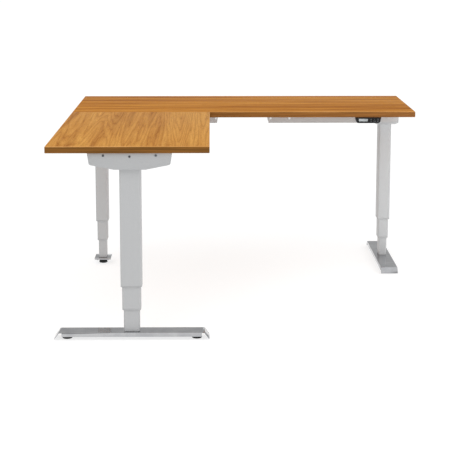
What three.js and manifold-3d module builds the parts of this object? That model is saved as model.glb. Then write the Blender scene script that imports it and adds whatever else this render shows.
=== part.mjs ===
// Height adjustable standing desk, L-shaped, on three telescopic columns.
// Millimetres, +Z up, origin on the floor under the centre of the plan.
// X runs along the main top, +Y is away from the user, the return top runs towards -Y.
import * as THREE from 'three';
import { mergeVertices } from 'three/addons/utils/BufferGeometryUtils.js';
import Module from 'manifold-3d';

const wasm = await Module();
wasm.setup();

// ---------------------------------------------------------------- driving dimensions
const GAP = 0.3;                 // clear gap between separate pieces
const MAIN_WIDTH = 1500;         // main top along X
const MAIN_DEPTH = 625;          // main top along Y
const TOTAL_DEPTH = 1650;        // back edge of the main top to the front of the return top
const RETURN_WIDTH = 600;        // return top along X
const TOP_THICK = 25;
const TOP_CORNER = 3;            // plan corner radius of the tops
const TOP_BREAK = 1.2;           // break along their edges
const DESK_HEIGHT = 733;         // work surface above the floor, as stored
const FOOT_TOP = 29;             // top of the feet above the floor

const OUTER = [80, 56, 8];       // column tube sections: wide side, narrow side, corner radius
const MID = [70, 46, 7];
const INNER = [60, 36, 6];
const WALL = 1.8;
const OUTER_LENGTH = 447;
const MID_LENGTH = 450;
const INNER_LENGTH = 432.7;
const COLLAR_LIP = 4.5;          // height of the plastic lip under each tube
const UPPER_SLEEVE = 60;         // how far each guide collar reaches up into its tube
const LOWER_SLEEVE = 50;
const SPINDLE_LENGTH = 462;
const SPINDLE_R = 6.5;
const SLEEVE_R = [7.5, 11];      // drive sleeve, bore and outside
const SPINDLE_SIDES = 6;
const NUT_TUBE_R = [12, 14.5];   // nut tube in the inner tube, bore and outside
const NUT_DROP = 10;             // its top below the inner tube's
const BASE_PLATE = 4;            // plate that closes the inner tube at the foot
const FOIL = [4, 10, 9];         // plate on the drive sleeve: below the tube's top, thickness, bore radius
const LIP_BREAK = 1.2;           // taper of each collar's lower edge

const RIGHT_LEG_IN = [98, 328];  // column centre from the right edge and the back edge
const CORNER_LEG_IN = [105, 365]; // column centre from the left edge and the back edge
const FRONT_LEG_IN = [308, 53];  // column centre from the left edge and the return's front edge

const BRACKET_LENGTH = 310;
const BRACKET_WIDTH = 90;
const BRACKET_HEIGHT = 62;
const BRACKET_FLAT = 58;         // half length of the flat bottom
const BRACKET_SHEET = 3;
const BRACKET_BEND = [11, 18];   // where the slope meets the end wall, from the end and the bottom
const BRACKET_FILLET = 5;
const GEARBOX = [72, 34, 6, 1.5]; // along X, reach in front of the column, corner radius, edge break
const GEARBOX_DROP = 5;          // its top below the tops
const MOTOR_R = 22.5;
const MOTOR_REACH = 108;         // motor's length beyond the bracket
const MOTOR_DROP = 29;           // motor axis below the tops
const MOTOR_HOLE = 2.5;          // clearance around the motor in the bracket
const MOTOR_CAP = [8, 4.5];      // end cap's length and step in from the motor

const BEAM_WIDTH = 84;
const BEAM_HEIGHT = 56;
const BEAM_SHEET = 2;
const BEAM_SLANT = 7;
const MAIN_BEAM_IN = 340;        // centre line of the main beams from the back edge
const MAIN_BEAM_END = 110;       // inner ends of the two main beams, from X = 0
const RETURN_BEAM_FRONT_END = -330;
const RETURN_BEAM_REAR_END = -110;
const RAIL_SLACK = 2;            // between the inner rail and each beam side
const RAIL_HEIGHT = 28;
const MAIN_RAIL_LENGTH = 520;
const RETURN_RAIL_LAP = 150;     // inner rail inside each return beam
const RAIL_WALL = 2;
const PLATE_THICK = 3;           // joint plates under the tops and beams
const PLATE_BREAK = 0.4;
const SEAM_PLATE = [160, 60, 6]; // along X, across the seam, corner radius
const JOINT_PLATE = [160, 8];    // along X, corner radius
const JOINT_PLATE_LAP = 70;      // under the return beam
const JOINT_PLATE_REACH = 36;    // past the main beams' centre line
const TOPS_SEAM = 0.5;           // open joint between the two tops

const FOOT_LENGTH = 545;         // between the end folds
const FOOT_WIDTH = 75;
const FOOT_SHEET = 2.5;
const FOOT_FLANGE = 16;          // depth of the side flanges from the foot top
const FOOT_FLAP_OUT = 18;
const FOOT_FLAP_DOWN = 24;
const FLAP_EDGE = 3;             // thickness of each end flap along X
const FLANGE_SHORT = 11;         // side flanges end this far inside the end folds
const GLIDE_OFFSET = 243;        // glide to column centre on the long feet
const GLIDE_R = 19;
const GLIDE_H = 11;              // pad's height under the long feet
const GLIDE_EXTRA = 3;           // corner foot's pad is this much higher
const GLIDE_SHOULDER = [2, 5];   // step at the pad's top, down and in
const GLIDE_SOLE = 1;            // break around the pad's sole
const BOSS_R = 8;                // threaded boss over each glide of the long feet
const STEM_END = 0.6;            // free depth over each stem
const STEM_R = 4;
const PAD_FOOT = [90, 75, 8];    // corner foot along Y, along X, edge height
const PAD_CORNER = [5, 0.8];     // its corner radius and edge break
const PAD_SKIN = 2.5;            // metal left over its stem

const CASE = [250, 100, 35.7];   // control box along X, along Y, height
const CASE_X = 180;              // its left end from X = 0
const CASE_IN = 135;             // its back from the back edge
const CASE_WALL = 3;
const CASE_CORNER = [5, 1];      // corner radius and edge break
const LID_HEIGHT = 4;
const LID_RIM = [3, 3];          // rim that stands in the case, height and thickness
const MOTOR_SOCKET = [14, 11, 22, 12]; // three sockets: wide, high, pitch, first from the front
const MAINS_SOCKET = [24, 17, 16];     // wide, high, from the back
const HANDSET_SOCKET = [14, 10, 14];   // wide, high, from the front

const HANDSET_IN = 205;          // centre of the handset from the right edge
const HANDSET_TOP_W = 114;
const HANDSET_BOTTOM_W = 102;    // where its sides would meet the bottom without rounding
const HANDSET_CORNER = 7;
const HANDSET_BREAK = 1.5;
const HANDSET_H = 26;
const HANDSET_DEPTH = 42;
const HANDSET_REAR = [12, 12];   // sloped rear: length along Y, height left at the back
const HANDSET_SETBACK = 4;       // from the main top's front edge
const DISPLAY = [40, 12, 1.4];    // wide, high, corner radius
const DISPLAY_AT = -22;          // its centre from the handset's centre line
const DISPLAY_DEPTH = [0.4, 3];  // window's face and pocket's floor behind the front
const FACE_RISE = 0.5;           // display and buttons above the middle of the face
const BUTTON = [11.4, 6.4, 1.2];  // wide, high, corner radius
const BUTTONS_AT = 11.5;         // first column from the handset's centre line
const BUTTON_DEPTH = [-0.9, 5];  // button's face and pocket's floor behind the front
const BUTTON_PITCH = [15, 8.8];
const BUTTON_TRAVEL = 0.8;

// ---------------------------------------------------------------- derived levels
const UNDER = DESK_HEIGHT - TOP_THICK;          // underside of the tops
const FRAME_TOP = UNDER - GAP;
const MAIN_BACK = TOTAL_DEPTH / 2;
const MAIN_FRONT = MAIN_BACK - MAIN_DEPTH;
const LEFT = -MAIN_WIDTH / 2;
const RETURN_FRONT = -TOTAL_DEPTH / 2;
const BRACKET_BOTTOM = UNDER - BRACKET_HEIGHT;
const BEAM_BOTTOM = UNDER - BEAM_HEIGHT;
const OUTER_TOP = UNDER - BEAM_HEIGHT;
const OUTER_BOTTOM = OUTER_TOP - OUTER_LENGTH;
const MID_BOTTOM = FOOT_TOP + (OUTER_BOTTOM - FOOT_TOP) / 2 - 1;
const MID_TOP = MID_BOTTOM + MID_LENGTH;
const INNER_TOP = FOOT_TOP + GAP + INNER_LENGTH;
const SPINDLE_BOTTOM = OUTER_TOP - SPINDLE_LENGTH;
const MOTOR_Z = UNDER - MOTOR_DROP;
const RAIL_WIDTH = BEAM_WIDTH - 2 * BEAM_SHEET - 2 * RAIL_SLACK;
const RIGHT_LEG = [-LEFT - RIGHT_LEG_IN[0], MAIN_BACK - RIGHT_LEG_IN[1]];
const CORNER_LEG = [LEFT + CORNER_LEG_IN[0], MAIN_BACK - CORNER_LEG_IN[1]];
const FRONT_LEG = [LEFT + FRONT_LEG_IN[0], RETURN_FRONT + FRONT_LEG_IN[1]];
const MAIN_BEAM_Y = MAIN_BACK - MAIN_BEAM_IN;
const HANDSET_X = -LEFT - HANDSET_IN;

// ---------------------------------------------------------------- shape helpers
const ARC_STEPS = 3;             // a quarter turn takes twice as many lines
const PAST = 1;                  // how far each cutting shape runs past the faces it opens
const UP = Math.PI / 2;          // turn about X that stands a shape up

/** Rounded rectangle centred on (x, y). */
function roundRect(w, h, r, x = 0, y = 0) {
  const shape = new THREE.Shape();
  [[1, 1], [-1, 1], [-1, -1], [1, -1]].forEach(([sx, sy], i) => {
    shape.absarc(x + sx * (w / 2 - r), y + sy * (h / 2 - r), r, i * UP, (i + 1) * UP);
  });
  return shape;
}

/** Closed outline of straight lines. */
function polygon(points) {
  return new THREE.Shape(points.map(([x, y]) => new THREE.Vector2(x, y)));
}

/** Shape extruded upwards between two levels, its edges broken inwards if asked. */
function prism(shape, z0, z1, edgeBreak = 0) {
  return new THREE.ExtrudeGeometry(shape, {
    depth: z1 - z0 - 2 * edgeBreak,
    curveSegments: ARC_STEPS,
    bevelEnabled: edgeBreak > 0,
    bevelThickness: edgeBreak,
    bevelSize: edgeBreak,
    bevelOffset: -edgeBreak,
    bevelSegments: 1,
  }).translate(0, 0, z0 + edgeBreak);
}

/** Shape drawn in the XZ plane and extruded along Y between two values. */
function prismY(shape, y0, y1, edgeBreak = 0) {
  return prism(shape, -y1, -y0, edgeBreak).rotateX(UP);
}

/** Shape drawn in the YZ plane and extruded along X between two values. */
function prismX(shape, x0, x1) {
  return prism(shape, x0, x1).rotateX(UP).rotateZ(UP);
}

/** Slab between values on each axis, with rounded plan corners and broken edges. */
function slab([x0, x1], [y0, y1], [z0, z1], [r, edgeBreak]) {
  return prism(roundRect(x1 - x0, y1 - y0, r, (x0 + x1) / 2, (y0 + y1) / 2), z0, z1, edgeBreak);
}

/** Box between two values on each axis. */
function box([x0, x1], [y0, y1], [z0, z1]) {
  return new THREE.BoxGeometry(x1 - x0, y1 - y0, z1 - z0)
    .translate((x0 + x1) / 2, (y0 + y1) / 2, (z0 + z1) / 2);
}

/** Upright cylinder about (x, 0). */
function rod(r, z0, z1, sides = 28, x = 0) {
  return new THREE.CylinderGeometry(r, r, z1 - z0, sides).rotateX(UP).translate(x, 0, (z0 + z1) / 2);
}

/** Cylinder that lies along Y at (x, z). */
function rodY(r, y0, y1, x, z, sides = 40) {
  return new THREE.CylinderGeometry(r, r, y1 - y0, sides).translate(x, (y0 + y1) / 2, z);
}

/** Counter-clockwise outline moved inwards by a distance, its corners kept sharp. */
function inset(points, distance) {
  const inward = (from, to) => {
    const along = to.clone().sub(from).normalize();
    return new THREE.Vector2(-along.y, along.x);
  };
  return points.map((point, i) => {
    const before = inward(points.at(i - 1), point);
    const after = inward(point, points[(i + 1) % points.length]);
    return point.clone().addScaledVector(before.clone().add(after), distance / (1 + before.dot(after)));
  });
}

// ---------------------------------------------------------------- joining and cutting
/** A closed geometry as a solid, its shared vertices merged; a solid comes back as it is. */
function solid(shape) {
  if (!shape.isBufferGeometry) {
    return shape;
  }
  const bare = shape.clone();
  bare.deleteAttribute('normal');
  bare.deleteAttribute('uv');
  const { index, attributes } = mergeVertices(bare);
  const triVerts = [];
  for (let i = 0; i < index.count; i += 3) {
    const corners = [index.getX(i), index.getX(i + 1), index.getX(i + 2)];
    if (new Set(corners).size === 3) {
      triVerts.push(...corners);
    }
  }
  return new wasm.Manifold(new wasm.Mesh({
    numProp: 3,
    vertProperties: attributes.position.array,
    triVerts: new Uint32Array(triVerts),
  }));
}

/** All the shapes as one solid. */
function join(...shapes) {
  return shapes.map(solid).reduce((whole, shape) => whole.add(shape));
}

/** The first shape less all the others. */
function cut(first, ...others) {
  return others.map(solid).reduce((left, shape) => left.subtract(shape), solid(first));
}

/** A finished solid's vertices and triangles as a geometry. */
function geometryOf(whole) {
  const { vertProperties, triVerts } = whole.getMesh();
  const geometry = new THREE.BufferGeometry();
  geometry.setAttribute('position', new THREE.BufferAttribute(vertProperties, 3));
  geometry.setIndex(new THREE.BufferAttribute(triVerts, 1));
  geometry.computeVertexNormals();
  return geometry;
}

// ---------------------------------------------------------------- scene
const FINISHES = {
  oak: { color: 0xc98f48, roughness: 0.45, metalness: 0 },
  powder: { color: 0xc2c3c5, roughness: 0.42, metalness: 0.25 },
  chrome: { color: 0xc9ccd0, roughness: 0.12, metalness: 1 },
  steel: { color: 0x8f9398, roughness: 0.35, metalness: 1 },
  black: { color: 0x1d1d1f, roughness: 0.5, metalness: 0 },
  display: { color: 0x9aa0a3, roughness: 0.2, metalness: 0 },
  drive: { color: 0x3a3b3e, roughness: 0.6, metalness: 0 },
};

/** Adds a group at a place, turned about Z by degrees. */
function addGroup(parent, [x, y, z], degrees = 0) {
  const group = new THREE.Group();
  group.position.set(x, y, z);
  group.rotation.z = THREE.MathUtils.degToRad(degrees);
  parent.add(group);
  return group;
}

/** Adds one closed body to its group, with a material of its own. */
function add(group, name, shape, finish, [x, y, z] = [0, 0, 0]) {
  const geometry = shape.isBufferGeometry ? shape : geometryOf(shape);
  const material = new THREE.MeshStandardMaterial({ name: finish, ...FINISHES[finish] });
  const mesh = new THREE.Mesh(geometry, material);
  mesh.name = name;
  mesh.position.set(x, y, z);
  group.add(mesh);
}

const root = new THREE.Group();
root.name = 'standing_desk';

// ---------------------------------------------------------------- tops
/** The two tops, with a plate across their seam on each side of the return beam. */
function addTops() {
  add(root, 'main_top', prism(roundRect(MAIN_WIDTH, MAIN_DEPTH, TOP_CORNER), 0, TOP_THICK, TOP_BREAK),
    'oak', [0, MAIN_BACK - MAIN_DEPTH / 2, UNDER]);
  const depth = MAIN_FRONT - TOPS_SEAM - RETURN_FRONT;
  add(root, 'return_top', prism(roundRect(RETURN_WIDTH, depth, TOP_CORNER), 0, TOP_THICK, TOP_BREAK),
    'oak', [LEFT + RETURN_WIDTH / 2, RETURN_FRONT + depth / 2, UNDER]);
  const [width, across, corner] = SEAM_PLATE;
  const beam = BEAM_WIDTH / 2;
  const midX = [(LEFT + FRONT_LEG[0] - beam) / 2, (LEFT + RETURN_WIDTH + FRONT_LEG[0] + beam) / 2];
  ['seam_plate_outer', 'seam_plate_inner'].forEach((name, i) => {
    add(root, name, prism(roundRect(width, across, corner), 0, PLATE_THICK, PLATE_BREAK),
      'steel', [midX[i], MAIN_FRONT, FRAME_TOP - PLATE_THICK]);
  });
}

// ---------------------------------------------------------------- feet
/** Long foot of folded sheet: top, side flanges, end flaps, and a boss over each glide. */
function longFoot() {
  const half = FOOT_LENGTH / 2;
  const side = FOOT_WIDTH / 2;
  const under = FOOT_TOP - FOOT_SHEET;
  const tip = half + FOOT_FLAP_OUT;
  const flapFoot = FOOT_TOP - FOOT_FLAP_DOWN;
  let foot = solid(box([-half, half], [-side, side], [under, FOOT_TOP]));
  for (const s of [-1, 1]) {
    const flange = box([-half + FLANGE_SHORT, half - FLANGE_SHORT],
      [Math.min(s * side, s * (side - FOOT_SHEET)), Math.max(s * side, s * (side - FOOT_SHEET))],
      [FOOT_TOP - FOOT_FLANGE, FOOT_TOP]);
    const flap = prismY(polygon([[s * (half - GAP), FOOT_TOP], [s * (half - GAP), under],
      [s * (tip - FLAP_EDGE), flapFoot], [s * tip, flapFoot], [s * (half + FLAP_EDGE / 2), FOOT_TOP]]),
    -side, side);
    const boss = rod(BOSS_R, GLIDE_H + GLIDE_EXTRA, FOOT_TOP - PAST, 24, s * GLIDE_OFFSET);
    const bore = rod(STEM_R + GAP, 0, under - STEM_END, 24, s * GLIDE_OFFSET);
    foot = cut(join(foot, flange, flap, boss), bore);
  }
  return foot;
}

/** Corner foot: a plain pad with a bore for its one glide. */
function padFoot() {
  const [l, w, t] = PAD_FOOT;
  return cut(slab([-l / 2, l / 2], [-w / 2, w / 2], [FOOT_TOP - t, FOOT_TOP], PAD_CORNER),
    rod(STEM_R + GAP, 0, FOOT_TOP - PAD_SKIN, 24));
}

/** Levelling glide: a round pad with a stem, turned about its own axis. */
function glide(padTop, stemTop) {
  const [down, inwards] = GLIDE_SHOULDER;
  const profile = [[0, 0], [GLIDE_R - GLIDE_SOLE, 0], [GLIDE_R, GLIDE_SOLE], [GLIDE_R, padTop - down],
    [GLIDE_R - inwards, padTop], [STEM_R, padTop], [STEM_R, stemTop], [0, stemTop]];
  return new THREE.LatheGeometry(profile.map(([x, y]) => new THREE.Vector2(x, y)), 36).rotateX(UP);
}

// ---------------------------------------------------------------- columns
/** Rectangular hollow section, open at both ends. */
function tube([w, d, r], z0, z1) {
  return cut(prism(roundRect(w, d, r), z0, z1),
    prism(roundRect(w - 2 * WALL, d - 2 * WALL, r - WALL), z0 - PAST, z1 + PAST));
}

/** Outline that slides inside a tube with the clear gap all round. */
function insideOf([w, d, r]) {
  const step = WALL + GAP;
  return roundRect(w - 2 * step, d - 2 * step, r - step);
}

/** Innermost tube, with the plate that stands on the foot and the tube that takes the nut. */
function innerTube() {
  const z0 = FOOT_TOP + GAP;
  const nutTop = INNER_TOP - NUT_DROP;
  const plate = prism(roundRect(INNER[0] - WALL, INNER[1] - WALL, INNER[2] - WALL / 2), z0, z0 + BASE_PLATE);
  const nutTube = rod(NUT_TUBE_R[1], z0 + BASE_PLATE / 2, nutTop);
  return cut(join(tube(INNER, z0, INNER_TOP), plate, nutTube),
    rod(NUT_TUBE_R[0], z0 + BASE_PLATE, nutTop + PAST));
}

/** Guide collar at the foot of a shell tube: a lip below it and a sleeve inside it. */
function collar(shell, inside, z, sleeve) {
  const [w, d, r] = shell;
  const bottom = z - COLLAR_LIP;
  const lip = join(prism(roundRect(w, d, r), bottom, z - GAP, LIP_BREAK),
    prism(roundRect(w, d, r), bottom + LIP_BREAK, z - GAP));
  const sock = prism(insideOf(shell), z - PAST, z + sleeve);
  const bore = roundRect(inside[0] + 2 * GAP, inside[1] + 2 * GAP, inside[2] + GAP);
  return cut(join(lip, sock), prism(bore, bottom - PAST, z + sleeve + PAST));
}

/** Drive sleeve that travels with the middle tube, and the plate that holds it there. */
function driveSleeve() {
  const [drop, thick, boreR] = FOIL;
  const foot = MID_BOTTOM - BASE_PLATE;
  const sleeve = cut(rod(SLEEVE_R[1], foot, MID_TOP), rod(SLEEVE_R[0], foot - PAST, MID_TOP + PAST));
  const plate = cut(prism(insideOf(MID), MID_TOP - drop - thick, MID_TOP - drop),
    rod(boreR, MID_TOP - drop - thick - PAST, MID_TOP));
  return join(sleeve, plate);
}

// ---------------------------------------------------------------- brackets and drives
/** Outline of the bracket tray in the XZ plane, its end walls carried on to the given level. */
function trayOutline(top) {
  const end = BRACKET_LENGTH / 2;
  const flat = new THREE.Vector2(BRACKET_FLAT, BRACKET_BOTTOM);
  const bend = new THREE.Vector2(end - BRACKET_BEND[0], BRACKET_BOTTOM + BRACKET_BEND[1]);
  const rim = new THREE.Vector2(end, FRAME_TOP);
  const towards = (point) => point.clone().sub(bend).setLength(BRACKET_FILLET).add(bend);
  const fillet = new THREE.QuadraticBezierCurve(towards(flat), bend, towards(rim)).getPoints(ARC_STEPS);
  const right = [flat, ...fillet, bend.clone().lerp(rim, (top - bend.y) / (rim.y - bend.y))];
  return [...right, ...right.map(({ x, y }) => new THREE.Vector2(-x, y)).reverse()];
}

/** Bracket tray on a column, open towards the tops, with holes for the column and the motor. */
function bracket(beamShift) {
  const side = BRACKET_WIDTH / 2;
  const within = side - BRACKET_SHEET;
  const hollow = inset(trayOutline(FRAME_TOP + 4 * BRACKET_SHEET), BRACKET_SHEET);
  const [w, d, r] = OUTER;
  return cut(prismY(new THREE.Shape(trayOutline(FRAME_TOP)), -side, side),
    prismY(new THREE.Shape(hollow), -within, within),
    prism(roundRect(w + 2 * GAP, d + 2 * GAP, r + GAP), BRACKET_BOTTOM - PAST, OUTER_TOP + PAST),
    rodY(MOTOR_R + MOTOR_HOLE, within - PAST, side + PAST, beamShift, MOTOR_Z));
}

/** Gearbox over a column with its motor lying in the beam. */
function driveUnit(beamShift) {
  const [length, front, corner, edgeBreak] = GEARBOX;
  const side = BRACKET_WIDTH / 2;
  const back = side - BRACKET_SHEET - PAST;
  const motorEnd = side + MOTOR_REACH;
  const [capLength, capStep] = MOTOR_CAP;
  return join(slab([-length / 2, length / 2], [-front, back], [OUTER_TOP + GAP, UNDER - GEARBOX_DROP],
    [corner, edgeBreak]),
  rodY(MOTOR_R, back - GEARBOX_DROP, motorEnd, beamShift, MOTOR_Z),
  rodY(MOTOR_R - capStep, motorEnd - PAST, motorEnd + capLength, beamShift, MOTOR_Z));
}

// ---------------------------------------------------------------- legs
/**
 * One leg, its foot, bracket and wide tube face along the group's X and its beam on the +Y side.
 * beamShift is how far the beam's centre line stands from the column centre along X.
 */
function addLeg(prefix, [x, y], turn, beamShift, isLong) {
  const leg = addGroup(root, [x, y, 0], turn);
  if (isLong) {
    add(leg, `${prefix}_foot`, longFoot(), 'chrome');
    [['a', -GLIDE_OFFSET], ['b', GLIDE_OFFSET]].forEach(([letter, at]) => {
      add(leg, `${prefix}_glide_${letter}`, glide(GLIDE_H, FOOT_TOP - FOOT_SHEET - 2 * STEM_END),
        'black', [at, 0, 0]);
    });
  } else {
    add(leg, `${prefix}_foot`, padFoot(), 'chrome');
    add(leg, `${prefix}_glide`, glide(GLIDE_H + GLIDE_EXTRA, FOOT_TOP - PAD_SKIN - STEM_END), 'black');
  }
  add(leg, `${prefix}_inner_tube`, innerTube(), 'powder');
  add(leg, `${prefix}_middle_tube`, tube(MID, MID_BOTTOM, MID_TOP), 'powder');
  add(leg, `${prefix}_outer_tube`, tube(OUTER, OUTER_BOTTOM, OUTER_TOP), 'powder');
  add(leg, `${prefix}_upper_collar`, collar(OUTER, MID, OUTER_BOTTOM, UPPER_SLEEVE), 'powder');
  add(leg, `${prefix}_lower_collar`, collar(MID, INNER, MID_BOTTOM, LOWER_SLEEVE), 'powder');
  add(leg, `${prefix}_spindle`, rod(SPINDLE_R, SPINDLE_BOTTOM, OUTER_TOP, SPINDLE_SIDES), 'steel');
  add(leg, `${prefix}_drive_sleeve`, driveSleeve(), 'steel');
  add(leg, `${prefix}_bracket`, bracket(beamShift), 'powder');
  add(leg, `${prefix}_drive_unit`, driveUnit(beamShift), 'drive');
}

// ---------------------------------------------------------------- beams
/** Channel along X that opens downwards, square at its fixed end and slanted at its free end. */
function channel(fixed, free) {
  const side = BEAM_WIDTH / 2;
  const within = side - BEAM_SHEET;
  const slant = Math.sign(free - fixed) * BEAM_SLANT;
  const outline = polygon([[fixed, BEAM_BOTTOM], [free - slant, BEAM_BOTTOM], [free, FRAME_TOP],
    [fixed, FRAME_TOP]]);
  return cut(prismY(outline, -side, side),
    box([Math.min(fixed, free) - PAST, Math.max(fixed, free) + PAST], [-within, within],
      [BEAM_BOTTOM - PAST, FRAME_TOP - BEAM_SHEET]));
}

/** Box rail along X that slides inside the channels, open at both ends. */
function rail(x0, x1) {
  const side = RAIL_WIDTH / 2;
  const top = FRAME_TOP - BEAM_SHEET - GAP;
  const bottom = top - RAIL_HEIGHT;
  return cut(box([x0, x1], [-side, side], [bottom, top]),
    box([x0 - PAST, x1 + PAST], [-side + RAIL_WALL, side - RAIL_WALL],
      [bottom + RAIL_WALL, top - RAIL_WALL]));
}

/** Main beams between the right and corner brackets, and the return beams to the front bracket. */
function addBeams() {
  const clear = BRACKET_WIDTH / 2 + GAP;
  const main = addGroup(root, [0, MAIN_BEAM_Y, 0]);
  add(main, 'main_beam_right', channel(RIGHT_LEG[0] - clear, MAIN_BEAM_END), 'powder');
  add(main, 'main_beam_left', channel(CORNER_LEG[0] + clear, -MAIN_BEAM_END), 'powder');
  add(main, 'main_inner_rail', rail(-MAIN_RAIL_LENGTH / 2, MAIN_RAIL_LENGTH / 2), 'steel');

  const rearEnd = MAIN_BEAM_Y - BEAM_WIDTH / 2 - GAP;
  const side = addGroup(root, [FRONT_LEG[0], 0, 0], 90);
  add(side, 'return_beam_front', channel(FRONT_LEG[1] + clear, RETURN_BEAM_FRONT_END), 'powder');
  add(side, 'return_beam_rear', channel(rearEnd, RETURN_BEAM_REAR_END), 'powder');
  add(side, 'return_inner_rail', rail(RETURN_BEAM_FRONT_END - RETURN_RAIL_LAP,
    RETURN_BEAM_REAR_END + RETURN_RAIL_LAP), 'steel');

  const [width, corner] = JOINT_PLATE;
  add(root, 'corner_joint_plate', slab([-width / 2, width / 2],
    [rearEnd - JOINT_PLATE_LAP, MAIN_BEAM_Y + JOINT_PLATE_REACH], [0, PLATE_THICK], [corner, PLATE_BREAK]),
  'powder', [FRONT_LEG[0], 0, BEAM_BOTTOM - GAP - PLATE_THICK]);
}

// ---------------------------------------------------------------- control box
/** Control box under the main top: a case with empty sockets, and the lid that closes it below. */
function addControlBox() {
  const [l, d, h] = CASE;
  const group = addGroup(root, [CASE_X, MAIN_BACK - CASE_IN - d, FRAME_TOP - h]);
  const leftWall = [-PAST, CASE_WALL + PAST];
  const rightWall = [l - CASE_WALL - PAST, l + PAST];
  const socketFoot = LID_HEIGHT + 2 * CASE_WALL;
  const socket = (wall, y0, wide, high) => box(wall, [y0, y0 + wide], [socketFoot, socketFoot + high]);
  const [motorWide, motorHigh, pitch, first] = MOTOR_SOCKET;
  const [mainsWide, mainsHigh, mainsIn] = MAINS_SOCKET;
  const [handsetWide, handsetHigh, handsetIn] = HANDSET_SOCKET;
  add(group, 'control_box_case', cut(slab([0, l], [0, d], [LID_HEIGHT, h], CASE_CORNER),
    box([CASE_WALL, l - CASE_WALL], [CASE_WALL, d - CASE_WALL], [LID_HEIGHT - PAST, h - CASE_WALL]),
    ...[0, 1, 2].map((i) => socket(leftWall, first + i * pitch, motorWide, motorHigh)),
    socket(rightWall, d - mainsIn - mainsWide, mainsWide, mainsHigh),
    socket(rightWall, handsetIn, handsetWide, handsetHigh)), 'black');

  const [rimHeight, rimWall] = LID_RIM;
  const rim = CASE_WALL + GAP;
  add(group, 'control_box_lid', cut(join(slab([0, l], [0, d], [0, LID_HEIGHT - GAP], CASE_CORNER),
    box([rim, l - rim], [rim, d - rim], [LID_HEIGHT / 2, LID_HEIGHT + rimHeight])),
  box([rim + rimWall, l - rim - rimWall], [rim + rimWall, d - rim - rimWall],
    [LID_HEIGHT - GAP - PAST, LID_HEIGHT + rimHeight + PAST])), 'black');
}

// ---------------------------------------------------------------- handset
/** Front outline of the handset, from its top at Z = 0 down to a rounded, narrower bottom. */
function handsetFace() {
  const top = HANDSET_TOP_W / 2;
  const bottom = HANDSET_BOTTOM_W / 2;
  const side = bottom + ((top - bottom) * HANDSET_CORNER) / HANDSET_H;
  const shape = new THREE.Shape();
  shape.moveTo(-top, 0);
  shape.lineTo(-side, HANDSET_CORNER - HANDSET_H);
  shape.quadraticCurveTo(-bottom, -HANDSET_H, HANDSET_CORNER - bottom, -HANDSET_H);
  shape.lineTo(bottom - HANDSET_CORNER, -HANDSET_H);
  shape.quadraticCurveTo(bottom, -HANDSET_H, side, HANDSET_CORNER - HANDSET_H);
  shape.lineTo(top, 0);
  return shape;
}

/** Handset under the main top's front edge: case, display window and six push buttons. */
function addHandset() {
  const group = addGroup(root, [HANDSET_X, MAIN_FRONT + HANDSET_SETBACK, FRAME_TOP]);
  const faceZ = -HANDSET_H / 2 + FACE_RISE;
  const block = ([w, h, r], slack, x, z, y0, y1) => prismY(
    roundRect(w + 2 * slack, h + 2 * slack, r + slack, x, z), y0, y1);
  const [windowY, windowFloor] = DISPLAY_DEPTH;
  const [buttonY, buttonFloor] = BUTTON_DEPTH;
  const names = ['up', 'memory_1', 'memory_2', 'down', 'memory_3', 'store'];
  const places = names.map((_, i) => [BUTTONS_AT + BUTTON_PITCH[0] * (i % 3),
    faceZ + BUTTON_PITCH[1] * (i < 3 ? 0.5 : -0.5)]);

  const [rear, rearHeight] = HANDSET_REAR;
  const sideView = polygon([[-PAST, -HANDSET_H - PAST], [HANDSET_DEPTH - rear, -HANDSET_H - PAST],
    [HANDSET_DEPTH - rear, -HANDSET_H], [HANDSET_DEPTH, -rearHeight], [HANDSET_DEPTH + PAST, -rearHeight],
    [HANDSET_DEPTH + PAST, PAST], [-PAST, PAST]]);
  const body = solid(prismY(handsetFace(), 0, HANDSET_DEPTH, HANDSET_BREAK))
    .intersect(solid(prismX(sideView, -HANDSET_TOP_W, HANDSET_TOP_W)));
  add(group, 'handset_case', cut(body, block(DISPLAY, 0, DISPLAY_AT, faceZ, -PAST, windowFloor),
    ...places.map(([x, z]) => block(BUTTON, GAP, x, z, -PAST, buttonFloor))), 'black');
  add(group, 'handset_display', block(DISPLAY, -GAP, DISPLAY_AT, faceZ, windowY, windowFloor - GAP),
    'display');
  names.forEach((name, i) => {
    const [x, z] = places[i];
    add(group, `button_${name}`, block(BUTTON, 0, x, z, buttonY, buttonFloor - GAP - BUTTON_TRAVEL),
      'black');
  });
}

addTops();
addLeg('right', RIGHT_LEG, 90, MAIN_BEAM_Y - RIGHT_LEG[1], true);
addLeg('corner', CORNER_LEG, -90, CORNER_LEG[1] - MAIN_BEAM_Y, false);
addLeg('front', FRONT_LEG, 0, 0, true);
addBeams();
addControlBox();
addHandset();

export default root;
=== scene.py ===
"""Height adjustable standing desk with an L-shaped oak top on three telescopic columns.

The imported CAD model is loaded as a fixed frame.  Every shown piece is rebuilt around it with
rounded edges, bends, fasteners and procedural finishes, and rides on the body it belongs to.
"""

from __future__ import annotations

import logging
import math
from dataclasses import dataclass, field
from enum import Enum
from typing import Any, Iterable, Sequence

import bmesh
import bpy
from mathutils import Matrix, Vector

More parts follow.
